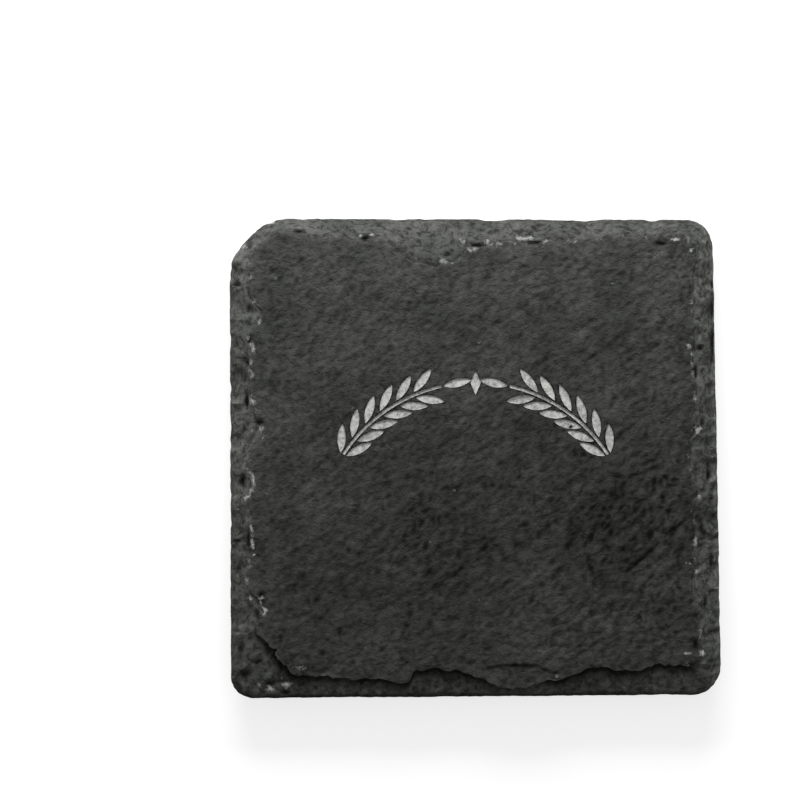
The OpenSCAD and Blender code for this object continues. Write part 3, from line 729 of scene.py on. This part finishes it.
def under_rings(place):
    """Rings from the slab's edge in over the underside's broken edge: insets, rises and looks.

    The rise falls from the scoops' depth at the edge as (1 - inward)^UNDER_CURVE. Creased hollows
    are added, and the whole is partly drawn into treads. Two rings of the margin follow.
    """
    width = np.maximum(LEAST_BREAK, by_place(UNDER_LINE, place) + bites(place, 71))
    inward = np.linspace(0, 1, UNDER_ROWS)[:, None]
    start = side_inset(place, 40.5)
    inset = start + (width - start) * inward
    x, y = np.moveaxis(plan(place, inset), -1, 0)
    rise = UNDER_BREAK_DEPTH * scoops(place, UNDER_SCARS) * (1 - inward) ** UNDER_CURVE
    rough = np.sin(np.pi * np.minimum(1, 0.2 + inward * 0.8)) ** 0.5
    rise = rise + rough * 0.14 * creased(noise(x / 1.9, y / 1.6, 73))
    rise = np.maximum(0.01, layer_broken(rise, 0.4 * noise(x / 6, y / 6, 74), UNDER_TREAD, rough))
    inner = margin_end(width, UNDER_MARGIN, UNDER_LEAST_MARGIN)
    inset = np.vstack([inset, width + (inner - width) * np.array([[0.35], [1]])])
    rise = np.vstack([rise, np.zeros((2, len(place)))])
    broken = np.broadcast_to(np.append(1 - 0.8 * inward ** 3, [[0], [0]], axis=0), inset.shape)
    return inset, rise, broken, 1 + UNDER_FRESH * broken, UNDER_WEAR * bell(inset - start, WEAR_REACH)


def wall_rings(place, top_inset, top_z, under_inset, under_z):
    """Rings down the broken side, between the top's edge and the underside's: insets and heights.

    A row's inset is blended from the ends' insets to a belly near the outline, where the nicks go
    on down and each of the stone's layers stands back by its own noise.
    """
    down = (np.arange(1, WALL_ROWS) / WALL_ROWS)[:, None]
    z = top_z * (1 - down) + under_z * down
    ends = top_inset * (1 - down) + under_inset * down
    belly = ease(2.4 * np.minimum(down, 1 - down))
    layer = np.floor((z + 0.5 * ring_noise(place, 12, 0.5, 81)) / LAYER_HEIGHT)
    ledge = LEDGE_DEPTH * (0.4 + 0.8 * ring_noise(place, 4, layer * 3.7 + 0.5, 82))
    fine = LEDGE_GRAIN * (0.5 + ring_noise(place, 1.2, down * 8, 83))
    return ends * (1 - belly) + belly * (nicks(place) + np.clip(ledge + fine, 0, 0.5)), z


def ring_sides(ring):
    """A closed ring's front, right, back and left sides with their corners, the last two turned
    to run the same way as the first two."""
    n = len(ring) // 4
    closed = np.concatenate([ring, ring[:1]])
    front, right, back, left = (closed[side * n:(side + 1) * n + 1] for side in range(4))
    return front, right, back[::-1], left[::-1]


def coons(ring):
    """Inner points of a four-sided patch whose edge is a closed ring of points.

    A point is the blend of its left and right edge points, plus that of its front and back edge
    points, less the blend of the four corners.
    """
    n = len(ring) // 4
    front, right, back, left = ring_sides(ring)
    u = (np.arange(n + 1) / n)[None, :, None]
    v = (np.arange(n + 1) / n)[:, None, None]
    sides = (1 - u) * left[:, None] + u * right[:, None]
    ends = (1 - v) * front[None] + v * back[None]
    corners = (1 - u) * ((1 - v) * left[0] + v * left[-1]) + u * ((1 - v) * right[0] + v * right[-1])
    return (sides + ends - corners)[1:-1, 1:-1].reshape(-1, 2)


def patch_ids(ring_ids, first_inner):
    """The grid of vertex numbers of a patch: its edge is the ring's, its inside is numbered on."""
    n = len(ring_ids) // 4
    ids = np.empty((n + 1, n + 1), int)
    ids[0], ids[:, n], ids[n], ids[:, 0] = ring_sides(ring_ids)
    ids[1:-1, 1:-1] = first_inner + np.arange((n - 1) ** 2).reshape(n - 1, n - 1)
    return ids


def grid_quads(ids):
    """The four-sided faces of a grid of vertex numbers, anticlockwise as the grid is laid out."""
    return np.stack([ids[:-1, :-1], ids[:-1, 1:], ids[1:, 1:], ids[1:, :-1]], -1).reshape(-1, 4)


def ring_quads(ids):
    """The four-sided faces between closed rings of vertex numbers, facing out as the rings go
    down an anticlockwise ring."""
    inner, outer = ids[:-1], ids[1:]
    return np.stack([inner, outer, np.roll(outer, -1, 1), np.roll(inner, -1, 1)], -1).reshape(-1, 4)


def add_object(name, data):
    """An object of this data at the origin, in the scene."""
    made = bpy.data.objects.new(name, data)
    bpy.context.scene.collection.objects.link(made)
    return made


def make_mesh(name, points, faces, attributes=None):
    """A smooth-shaded mesh object from points in millimetres, with float attributes on them."""
    mesh = bpy.data.meshes.new(name)
    mesh.from_pydata((points * MM).tolist(), [], faces)
    for key, values in (attributes or {}).items():
        layer = mesh.attributes.new(key, "FLOAT", "POINT")
        layer.data.foreach_set("value", np.asarray(values, np.float32))
    mesh.shade_smooth()
    return add_object(name, mesh)


def slab_rings(place):
    """Every ring of the slab from the face down to the underside, and the last one's insets.

    The rings' points come first, then their looks: broken, tone, wear and flipped, which is 0 on
    top, a half on the side and 1 below.
    """
    top_inset, top_drop, *top_looks = top_rings(place)
    under_inset, under_rise, *under_looks = under_rings(place)
    top_edge_z, under_edge_z = TOP_Z - top_drop[-1], UNDER_Z + under_rise[0]
    wall_inset, wall_z = wall_rings(place, top_inset[-1], top_edge_z, under_inset[0], under_edge_z)
    # The side takes on part of the outer edge's painted highlight and shade
    wall_tone_and_shading = by_place(FRESH, place) * (1 + WALL_SHADING_SHARE * (by_place(EDGE_HIGHLIGHT_AND_SHADE, place) - 1))
    wall_tone_and_shading = np.broadcast_to(wall_tone_and_shading, wall_inset.shape)
    wall_looks = np.ones_like(wall_inset), wall_tone_and_shading, np.full_like(wall_inset, WALL_WEAR)
    looks = [np.vstack(rows) for rows in zip(top_looks, wall_looks, under_looks)]

    xy = plan(place, np.vstack([top_inset, wall_inset, under_inset]))
    counts = [len(top_inset), len(wall_inset), len(under_inset)]
    face_xy, _, base_xy = np.split(xy, np.cumsum(counts)[:2])
    lost = RELIEF_LOST * looks[0]
    sunk = face_relief(face_xy[..., 0], face_xy[..., 1])
    sunk = sunk + (FACE_SINK - sunk) * lost[:counts[0]]
    raised = under_relief(base_xy[..., 0], base_xy[..., 1]) * (1 - lost[-counts[2]:])
    z = np.vstack([TOP_Z - top_drop - sunk, wall_z, UNDER_Z + under_rise + raised])

    flipped = np.broadcast_to(np.repeat([0, 0.5, 1], counts)[:, None], z.shape)
    return np.concatenate([xy, z[..., None]], -1), [*looks, flipped], under_inset[-1]


def slab_mesh():
    """The slab as one closed skin: the top's grid, rings over the edge, and the underside's grid.

    The underside's grid is half as fine, so a row of triangles joins each two stations to one.
    """
    place = np.arange(4 * PER_SIDE) / PER_SIDE
    rings, looks, last_inset = slab_rings(place)
    ids = np.arange(rings[..., 0].size).reshape(rings.shape[:2])
    points = rings.reshape(-1, 3)

    face_xy = coons(rings[0, :, :2])
    face = np.column_stack([face_xy, TOP_Z - face_relief(*face_xy.T)])
    face_ids = patch_ids(ids[0], len(points))

    halved_xy = plan(place[::2], last_inset[::2] + JOIN_GAP)
    base_xy = np.concatenate([halved_xy, coons(halved_xy)])
    base = np.column_stack([base_xy, UNDER_Z + under_relief(*base_xy.T)])
    halved_ids = len(points) + len(face) + np.arange(len(halved_xy))
    base_ids = patch_ids(halved_ids, halved_ids[-1] + 1)
    fine, coarse, coarse_next = ids[-1], halved_ids, np.roll(halved_ids, -1)
    joins = np.concatenate([
        np.stack([fine[::2], coarse, fine[1::2]], -1),
        np.stack([fine[1::2], coarse, coarse_next], -1),
        np.stack([fine[1::2], coarse_next, np.roll(fine[::2], -1)], -1),
    ])

    points = np.concatenate([points, face, base])
    plain = np.zeros(len(face) + len(base))
    inner_looks = plain, plain + 1, plain, np.repeat([0, 1], [len(face), len(base)])
    broken, tone, wear, flipped = (np.append(*pair) for pair in zip(looks, inner_looks))
    x, y = points[:, 0], points[:, 1]
    above = flipped < 0.75
    struck = np.where(above, bells(x, y, CRUSHED).max(-1), bells(x, y, SCUFFED).max(-1))
    gouged = above * ease(1.3 * bells(x, y, GOUGES).max(-1))
    points[:, 2] -= GOUGE_DEPTH * gouged * (flipped == 0)
    # The face's tone: the clouds' painted light, the grain's mottling and the painted shade along the
    # cleavage steps
    face_tone_and_light = 1 + bells(x, y, CLOUDS_AND_PAINTED_LIGHT).sum(-1) + mottling_and_shade(x, y)
    # Gouges are painted dark, as shade in their hollows
    tone = tone * np.where(above, face_tone_and_light, 1 + under_mottling(x, y)) * (1 - GOUGE_SHADE * gouged)
    low, high = points.min(0)[:2], points.max(0)[:2]
    points[:, :2] = SLAB_LOW[:2] + (points[:, :2] - low) * (SLAB_HIGH - SLAB_LOW)[:2] / (high - low)
    points[:, 2] = np.clip(points[:, 2], UNDER_Z, TOP_Z)
    faces = [
        *ring_quads(ids).tolist(), *grid_quads(face_ids).tolist(),
        *joins.tolist(), *grid_quads(base_ids)[:, ::-1].tolist(),
    ]
    crushed = np.maximum(struck, wear * (1 - gouged))
    tone = np.maximum(LEAST_TONE, tone)
    drawn = {"broken": broken, "flipped": flipped, "crushed": crushed, "tone": tone}
    return make_mesh("slate_slab_cleft", points, faces, drawn)


def leaf_outline():
    """A leaf from the origin along +X, between two arcs that meet at its tips."""
    r = (LEAF_L ** 2 + LEAF_W ** 2) / (4 * LEAF_W)
    half = math.asin(LEAF_L / 2 / r)
    swing = np.linspace(-half, half, LEAF_POINTS)
    lower = np.column_stack([LEAF_L / 2 + r * np.sin(swing), r - LEAF_W / 2 - r * np.cos(swing)])
    upper = lower[-2:0:-1] * [1, -1]
    return np.concatenate([lower, upper])


def on_arch(points, angle):
    """Points with +X along the arch towards its top, set on it this far down its left side."""
    a = math.radians(angle)
    ahead = np.array([math.cos(a), math.sin(a)])
    out = np.array([-math.sin(a), math.cos(a)])
    return ARCH_CENTRE + out * ARCH_R + points[:, :1] * ahead + points[:, 1:] * out


def spin(points, degrees):
    """Points turned about the origin."""
    a = math.radians(degrees)
    return points @ np.array([[math.cos(a), math.sin(a)], [-math.sin(a), math.cos(a)]])


def stem_outline():
    """The stem on the arch's left side: an arc band between its foot and its top."""
    sweep = np.radians(np.linspace(STEM_TOP_ANGLE, ARCH_HALF_ANGLE, STEM_POINTS))
    way = np.column_stack([-np.sin(sweep), np.cos(sweep)])
    outer, inner = way * (ARCH_R + STEM_W / 2), way * (ARCH_R - STEM_W / 2)
    return ARCH_CENTRE + np.concatenate([outer, inner[::-1]])


def engraving_outlines():
    """Every cell of the engraving, anticlockwise: both stems, their leaves and the lozenge."""
    leaf = leaf_outline()
    step = (ARCH_HALF_ANGLE - STEM_TOP_ANGLE) / (LEAF_PAIRS + 0.5)
    left = [stem_outline(), on_arch(leaf + [LEAF_GAP / 2, 0], STEM_TOP_ANGLE)]
    for pair in range(LEAF_PAIRS):
        for side in (-1, 1):
            leaning = spin(leaf, side * LEAF_LEAN) + [0, side * LEAF_GAP]
            left.append(on_arch(leaning, ARCH_HALF_ANGLE - pair * step))
    right = [cell[::-1] * [-1, 1] for cell in left]
    lozenge = ARCH_CENTRE + [0, ARCH_R] + LOZENGE * np.array([[1, 0], [0, 1], [-1, 0], [0, -1]])
    return [*left, *right, lozenge]


def engraving_cutter():
    """Prisms over the engraving's cells, their floors an even depth below the face's relief."""
    points, faces = [], []
    count = 0
    for cell in engraving_outlines():
        n = len(cell)
        floor_z = TOP_Z - face_relief(*cell.T) - ENGRAVE_DEPTH
        points.append(np.column_stack([cell, floor_z]))
        points.append(np.column_stack([cell, np.full(n, TOP_Z + 1)]))
        ring = np.arange(n) + count
        faces += ring_quads(np.stack([ring + n, ring])).tolist()
        faces += [ring[::-1].tolist(), (ring + n).tolist()]
        count += 2 * n
    return make_mesh("engraving_cutter", np.concatenate(points), faces)


def carve(slab, cutter, etched):
    """Cuts the engraving out of the slab, its new faces in the etched finish."""
    cutter.data.materials.append(etched)
    cut = slab.modifiers.new("engraving", "BOOLEAN")
    cut.operation = "DIFFERENCE"
    cut.solver = "MANIFOLD"
    cut.material_mode = "TRANSFER"
    cut.object = cutter
    bpy.context.view_layer.update()
    carved = bpy.data.meshes.new_from_object(slab.evaluated_get(bpy.context.evaluated_depsgraph_get()))
    slab.modifiers.clear()
    slab.data = carved
    bpy.data.objects.remove(cutter)


def node(tree, kind, inputs=None, **settings):
    """Adds a shader node, and sets or links its inputs, which are given by name or number."""
    made = tree.nodes.new("ShaderNode" + kind)
    for name, value in settings.items():
        setattr(made, name, value)
    for socket, value in (inputs or {}).items():
        if isinstance(value, bpy.types.NodeSocket):
            tree.links.new(value, made.inputs[socket])
        else:
            made.inputs[socket].default_value = value
    return made


def calc(tree, operation, a, b=0.0):
    """The result of one Math node."""
    return node(tree, "Math", {0: a, 1: b}, operation=operation).outputs[0]


def blend(tree, factor, a, b, mode="MIX"):
    """Two colours mixed by a factor."""
    mixed = node(tree, "Mix", {0: factor, 6: a, 7: b}, data_type="RGBA", blend_type=mode)
    return mixed.outputs[2]


def blend_value(tree, factor, a, b):
    """Two numbers mixed by a factor."""
    return node(tree, "Mix", {0: factor, 2: a, 3: b}, data_type="FLOAT").outputs[0]


def spread(tree, value, low, high, to_low=0.0, to_high=1.0):
    """A value's stretch from low to high, mapped on to another stretch and held at its ends."""
    inputs = {0: value, 1: low, 2: high, 3: to_low, 4: to_high}
    return node(tree, "MapRange", inputs, clamp=True).outputs[0]


def shades(tree, value, low, high, colours):
    """A pair of colours, from the darker to the paler over a value's stretch from low to high."""
    return blend(tree, spread(tree, value, low, high), *colours)


def tex_noise(tree, vector, scale, detail, rough=0.5, distortion=0.0):
    """The height of one Noise Texture node."""
    inputs = {"Vector": vector, "Scale": scale, "Detail": detail, "Roughness": rough}
    return node(tree, "TexNoise", {**inputs, "Distortion": distortion}).outputs[0]


def attribute(tree, name):
    """A float attribute of the mesh."""
    return node(tree, "Attribute", attribute_name=name).outputs["Fac"]


def millimetres(tree, turn=0.0):
    """Object coordinates in millimetres, turned about the upright axis."""
    where = node(tree, "TexCoord").outputs["Object"]
    mapping = {"Vector": where, "Scale": (1 / MM,) * 3, "Rotation": (0, 0, math.radians(turn))}
    return node(tree, "Mapping", mapping).outputs[0]


def new_group(name, inputs, outputs):
    """A shader node group with its sockets: inputs and outputs are lists of (name, kind)."""
    tree = bpy.data.node_groups.new(name, "ShaderNodeTree")
    for label, kind in inputs:
        tree.interface.new_socket(label, in_out="INPUT", socket_type="NodeSocket" + kind)
    for label, kind in outputs:
        tree.interface.new_socket(label, in_out="OUTPUT", socket_type="NodeSocket" + kind)
    return tree, tree.nodes.new("NodeGroupInput").outputs, tree.nodes.new("NodeGroupOutput").inputs


def grain_group():
    """Stretched stone grain: a height of two sizes of noise, and a slower tone.

    Size is the grain's length along each axis, in the units of Vector.
    """
    tree, given, out = new_group(
        "stone_grain",
        [("Vector", "Vector"), ("Size", "Vector"), ("Sharpness", "Float")],
        [("Height", "Float"), ("Tone", "Float")],
    )
    divided = node(tree, "VectorMath", {0: given["Vector"], 1: given["Size"]}, operation="DIVIDE")
    cells = divided.outputs[0]
    coarse = tex_noise(tree, cells, 1.0, 3.0, distortion=0.5)
    fine = tex_noise(tree, cells, 2.7, 2.0, distortion=0.2)
    ridge = calc(tree, "ABSOLUTE", calc(tree, "SUBTRACT", coarse, 0.5))
    ridge = calc(tree, "MULTIPLY", ridge, given["Sharpness"])
    height = calc(tree, "ADD", coarse, calc(tree, "MULTIPLY", fine, 0.35))
    tree.links.new(calc(tree, "SUBTRACT", height, ridge), out["Height"])
    tree.links.new(tex_noise(tree, cells, 0.09, 4.0, 0.55), out["Tone"])
    return tree


def speckle_group():
    """Small separate grains: a mask that is 1 inside the grains of a cell pattern."""
    tree, given, out = new_group(
        "speckle",
        [("Vector", "Vector"), ("Scale", "Float"), ("Amount", "Float")],
        [("Mask", "Float")],
    )
    warp = node(tree, "TexNoise", {"Vector": given["Vector"], "Scale": 2.3, "Detail": 2.0})
    shifted = node(tree, "VectorMath", {0: given["Vector"], 1: warp.outputs["Color"]}, operation="ADD")
    cells = node(tree, "TexVoronoi", {"Vector": shifted.outputs[0], "Scale": given["Scale"]})
    split = node(tree, "SeparateColor", {0: cells.outputs["Color"]})
    chosen = calc(tree, "LESS_THAN", split.outputs[0], given["Amount"])
    inside = spread(tree, cells.outputs["Distance"], 0.25, 0.5, 1.0, 0.0)
    tree.links.new(calc(tree, "MULTIPLY", chosen, inside), out["Mask"])
    return tree


def group_node(tree, group, inputs):
    """A node group placed in a material, with its inputs."""
    return node(tree, "Group", inputs, node_tree=group)


def new_material(name, specular):
    """A material, its tree and its Principled shader, which reflects this strongly."""
    material = bpy.data.materials.new(name)
    material.use_nodes = True
    tree = material.node_tree
    shader = tree.nodes["Principled BSDF"]
    shader.inputs["Specular IOR Level"].default_value = specular
    return material, tree, shader


def link_surface(tree, shader, colour, roughness, height=None, depth=0.0):
    """Links what varies over a surface to its shader: the colour, the roughness, and the bump of
    a height that is this many millimetres deep."""
    tree.links.new(colour, shader.inputs["Base Color"])
    tree.links.new(roughness, shader.inputs["Roughness"])
    if height is not None:
        bump = node(tree, "Bump", {"Height": height, "Strength": 1.0, "Distance": depth * MM})
        tree.links.new(bump.outputs[0], shader.inputs["Normal"])


def slate_material(grain, speckle):
    """Cleft charcoal slate: slanting grain on the face, ripples below, layers on broken edges, the
    grain's relief painted into the colour as shade and highlight, and pale powder where the stone was
    struck."""
    material, tree, shader = new_material("cleft_slate", specular=0.05)
    broken = attribute(tree, "broken")
    below = spread(tree, attribute(tree, "flipped"), 0.4, 0.6)
    mm = millimetres(tree)
    face = group_node(tree, grain, {
        "Vector": millimetres(tree, -WRINKLE_ANGLE), "Size": (1.1, 0.95, 0.95), "Sharpness": 0.4,
    })
    ripple = group_node(tree, grain, {"Vector": mm, "Size": (3.4, 0.8, 0.8), "Sharpness": 0.3})
    layers = group_node(tree, grain, {"Vector": mm, "Size": (1.3, 1.3, 0.25), "Sharpness": 0.6})
    height = blend_value(tree, below, face.outputs["Height"], ripple.outputs["Height"])
    height = blend_value(tree, calc(tree, "MULTIPLY", broken, 0.7), height, layers.outputs["Height"])

    warm = shades(tree, face.outputs["Tone"], 0.38, 0.62, FACE_SLATE)
    cool = shades(tree, ripple.outputs["Tone"], 0.38, 0.62, UNDER_SLATE)
    colour = blend(tree, below, warm, cool)
    colour = blend(tree, 1.0, colour, attribute(tree, "tone"), mode="MULTIPLY")
    # Painted shade and highlight of the relief: the colour is darker where the grain's height is low and
    # paler where it is high, on the face, the underside's ripples and the broken edge's layers
    relief = spread(tree, height, 0.42, 0.9, 0.75, 1.25)
    ripples = spread(tree, ripple.outputs["Height"], 0.48, 0.82, 0.45, 1.55)
    relief = blend_value(tree, below, relief, ripples)
    grit_and_shade = spread(tree, layers.outputs["Height"], 0.45, 0.85, 0.5, 1.5)
    relief = blend_value(tree, broken, relief, grit_and_shade)
    colour = blend(tree, 1.0, colour, relief, mode="MULTIPLY")

    crumbs = tex_noise(tree, mm, 1.2, 4.0, 0.7)
    crushed = attribute(tree, "crushed")
    powder = calc(tree, "ADD", crumbs, calc(tree, "MULTIPLY", crushed, 0.42))
    powder = spread(tree, powder, 0.68, 0.86)
    powder = calc(tree, "MULTIPLY", powder, spread(tree, crushed, 0.2, 0.9, 0.3, 1.0))
    specks = group_node(tree, speckle, {"Vector": mm, "Scale": 1.6, "Amount": 0.001})
    powder = calc(tree, "MAXIMUM", powder, calc(tree, "MULTIPLY", specks.outputs["Mask"], 0.25))
    colour = blend(tree, powder, colour, POWDER)
    link_surface(tree, shader, colour, spread(tree, height, 0.3, 1.0, 0.8, 0.6), height, 0.3)
    return material


def etched_material(grain):
    """The engraving's floor: stone bruised to a pale grey, with darker grain left in it."""
    material, tree, shader = new_material("etched_slate", specular=0.2)
    mm = millimetres(tree)
    fine = group_node(tree, grain, {"Vector": mm, "Size": (0.5, 0.5, 0.5), "Sharpness": 0.0})
    height = fine.outputs["Height"]
    colour = shades(tree, tex_noise(tree, mm, 1.4, 4.0, 0.7), 0.34, 0.6, ETCHED)
    link_surface(tree, shader, colour, spread(tree, height, 0.3, 1.0, 0.8, 0.95), height, 0.06)
    return material


def foam_material(speckle):
    """Dark closed-cell foam: granules of slightly different greys, with fine pores."""
    material, tree, shader = new_material("foam", specular=0.2)
    mm = millimetres(tree)
    grains = group_node(tree, speckle, {"Vector": mm, "Scale": 1.6, "Amount": 0.5})
    cloud = tex_noise(tree, mm, 0.9, 5.0, 0.7)
    base = shades(tree, cloud, 0.35, 0.65, FOAM)
    lighter = calc(tree, "MULTIPLY", grains.outputs["Mask"], 0.5)
    colour = blend(tree, lighter, base, FOAM_GRANULES)
    pores = node(tree, "TexVoronoi", {"Vector": mm, "Scale": 4.5})
    cells = spread(tree, pores.outputs["Distance"], 0.1, 0.6)
    height = calc(tree, "ADD", cells, cloud)
    link_surface(tree, shader, colour, spread(tree, height, 0.5, 1.5, 0.95, 0.8), height, 0.12)
    return material


def film_material():
    """The adhesive film: a pale satin sheet with faint clouding."""
    material, tree, shader = new_material("adhesive_film", specular=0.5)
    cloud = tex_noise(tree, millimetres(tree), 0.6, 4.0)
    colour = shades(tree, cloud, 0.35, 0.65, FILM)
    link_surface(tree, shader, colour, spread(tree, cloud, 0.3, 0.7, 0.35, 0.5))
    return material


def disc_points(n):
    """A grid of points that fills the unit disc evenly: squares round the middle become circles.

    With r the larger of |u| and |v|, the smaller one's share of r turns the point by up to 45
    degrees along the circle of radius r.
    """
    u, v = np.meshgrid(np.linspace(-1, 1, n + 1), np.linspace(-1, 1, n + 1))
    wide = np.abs(u) > np.abs(v)
    r = np.where(wide, u, v)
    safe = np.where(r == 0, 1, r)
    angle = np.where(wide, np.pi / 4 * v / safe, np.pi / 2 - np.pi / 4 * u / safe)
    return np.stack([r * np.cos(angle), r * np.sin(angle)], -1)


def pits(x, y, size, depth, seed):
    """Round hollows of this size and depth, one at a random point of each square cell."""
    jitter = np.random.default_rng(CELL_SEED).uniform(0, 1, (CELL_REPEAT, CELL_REPEAT, 2))
    x, y = x / size + seed * 7, y / size + seed * 3
    column, row = np.floor(x).astype(int), np.floor(y).astype(int)
    nearest = 9.0
    for i in (-1, 0, 1):
        for j in (-1, 0, 1):
            spot = jitter[(column + i) % CELL_REPEAT, (row + j) % CELL_REPEAT]
            away = np.hypot(column + i + spot[..., 0] - x, row + j + spot[..., 1] - y)
            nearest = np.minimum(nearest, away)
    return depth * ease(1.1 - nearest * 2.2)


def foam_pad(corner, seed):
    """A die-cut disc of foam: two even discs joined by a side with a rounded lower edge.

    Below, open cells are pressed into it. Up the side the radius is a quarter circle's, then a
    half sine's waist, less the cut cells.
    """
    middle, radius, foot_z, top_z = pad_place(corner)
    disc = disc_points(PAD_ACROSS)
    ids = np.arange(disc[..., 0].size).reshape(disc.shape[:2])
    rim = np.concatenate([ids[0, :-1], ids[:-1, -1], ids[-1, :0:-1], ids[:0:-1, 0]])
    disc = disc.reshape(-1, 2)

    flat_radius = radius - PAD_EDGE_R
    x, y = (disc * flat_radius).T
    fade = ease((flat_radius - np.hypot(x, y)) / 0.8)
    dent = fade * (pits(x, y, *SMALL_CELLS, seed) + pits(x + 3, y, *LARGE_CELLS, seed))
    bottom = np.column_stack([x, y, foot_z + dent])

    arc = np.radians(np.linspace(0, 90, 5)[1:])
    share = np.linspace(0, 1, PAD_SIDE_ROWS - 3)[1:]
    r = np.append(flat_radius + PAD_EDGE_R * np.sin(arc), radius - PAD_WAIST * np.sin(np.pi * share))
    z = np.append(PAD_EDGE_R * (1 - np.cos(arc)), PAD_EDGE_R + (top_z - foot_z - PAD_EDGE_R) * share)
    way = disc[rim]
    turn = np.arctan2(way[:, 1], way[:, 0])
    row = np.arange(len(r))
    fade = np.minimum(1, row / 3) * np.minimum(1, (len(r) - 1 - row) / 2)
    dent = fade[:, None] * pits(turn * radius, z[:, None], *SIDE_CELLS, seed)
    side_xy = way * (r[:, None] - dent)[..., None]
    side_z = np.broadcast_to(foot_z + z[:, None, None], (*side_xy.shape[:2], 1))
    side = np.concatenate([side_xy, side_z], -1)[:-1]
    top = np.column_stack([disc * r[-1], np.full(len(disc), top_z)])

    side_ids = len(bottom) + np.arange(side[..., 0].size).reshape(side.shape[:2])
    top_first = len(bottom) + side_ids.size
    rings = np.vstack([rim, side_ids, rim + top_first])[::-1]
    points = np.concatenate([bottom, side.reshape(-1, 3), top])
    points[:, :2] += middle
    faces = [
        *grid_quads(ids)[:, ::-1].tolist(), *ring_quads(rings).tolist(),
        *grid_quads(ids + top_first).tolist(),
    ]
    return make_mesh("foam_foot_" + corner, points, faces)


def lamp(name, place, size, watts):
    """A rectangular soft lamp that faces the slab, and that the camera doesn't see."""
    data = bpy.data.lights.new(name, "AREA")
    data.shape = "RECTANGLE"
    data.size, data.size_y = size
    data.energy = watts
    made = add_object(name, data)
    made.location = place
    made.rotation_euler = (Vector(place) - Vector((0, 0, TOP_Z * MM))).to_track_quat("Z", "Y").to_euler()
    made.visible_camera = False


def shown_rays(tree):
    """1 for the rays that show the surroundings: to the camera, in gloss and through glass."""
    rays = node(tree, "LightPath").outputs
    mirrored = calc(tree, "MAXIMUM", rays["Is Glossy Ray"], rays["Is Transmission Ray"])
    return calc(tree, "MAXIMUM", rays["Is Camera Ray"], mirrored)


def studio():
    """White surroundings, a low soft key from behind the slab, and a soft lamp below."""
    world = bpy.data.worlds.new("white_studio")
    bpy.context.scene.world = world
    world.use_nodes = True
    tree = world.node_tree
    back = tree.nodes["Background"]
    tree.links.new(blend_value(tree, shown_rays(tree), WORLD_FILL, 1.0), back.inputs["Strength"])
    back.inputs["Color"].default_value = (1, 1, 1, 1)
    lamp("key_softbox", KEY_PLACE, KEY_SIZE, KEY_WATTS)
    lamp("under_softbox", UNDER_PLACE, UNDER_SIZE, UNDER_WATTS)


def floor():
    """A pale floor that keeps the slab's shadow, and that isn't there when seen from below."""
    mesh = bpy.data.meshes.new("floor")
    mesh.from_pydata([(*sign, 0) for sign in (CORNER_SIGNS * FLOOR_HALF).tolist()], [], [(0, 1, 2, 3)])
    made = add_object("floor", mesh)
    made.visible_diffuse = False
    made.visible_shadow = False
    material, tree, shader = new_material("floor_paper", specular=0.0)
    shader.inputs["Base Color"].default_value = (FLOOR_GREY, FLOOR_GREY, FLOOR_GREY, 1)
    shader.inputs["Roughness"].default_value = 1.0
    glow = node(tree, "Emission", {"Strength": calc(tree, "MULTIPLY", shown_rays(tree), FLOOR_GLOW)})
    lit = node(tree, "AddShader", {0: shader.outputs[0], 1: glow.outputs[0]})
    clear = node(tree, "BsdfTransparent")
    from_below = node(tree, "NewGeometry").outputs["Backfacing"]
    shown = node(tree, "MixShader", {0: from_below, 1: lit.outputs[0], 2: clear.outputs[0]})
    tree.links.new(shown.outputs[0], tree.nodes["Material Output"].inputs["Surface"])
    mesh.materials.append(material)


def camera():
    """Straight above the slab, with the lens and the offset that frame it as photographed."""
    data = bpy.data.cameras.new("camera")
    data.sensor_width = SENSOR_WIDTH
    data.lens = PIXELS_PER_MM / MM * CAMERA_DISTANCE * SENSOR_WIDTH / IMAGE_SIZE
    offset = (SLAB_PIXEL - IMAGE_SIZE / 2) * [1, -1] / PIXELS_PER_MM * MM
    made = add_object("camera", data)
    made.location = (-offset[0], -offset[1], TOP_Z * MM + CAMERA_DISTANCE)
    bpy.context.scene.camera = made


def dress():
    """Builds every piece, gives it its finish and puts it on the frame's one body."""
    grain, speckle = grain_group(), speckle_group()
    slate, etched = slate_material(grain, speckle), etched_material(grain)
    foam, film = foam_material(speckle), film_material()

    slab = slab_mesh()
    slab.data.materials.append(slate)
    carve(slab, engraving_cutter(), etched)
    slab.data.set_sharp_from_angle(angle=math.radians(SHARP_ANGLE))
    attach(slab, "root")
    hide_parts("slate_slab")

    for index, corner in enumerate(CORNERS):
        pad = foam_pad(corner, index)
        pad.data.materials.append(foam)
        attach(pad, "root")
        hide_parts("foam_pad_" + corner)
        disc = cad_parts["adhesive_disc_" + corner]
        disc.data.materials.clear()
        disc.data.materials.append(film)


camera()
dress()
floor()
studio()
bpy.context.scene.view_settings.view_transform = "Standard"
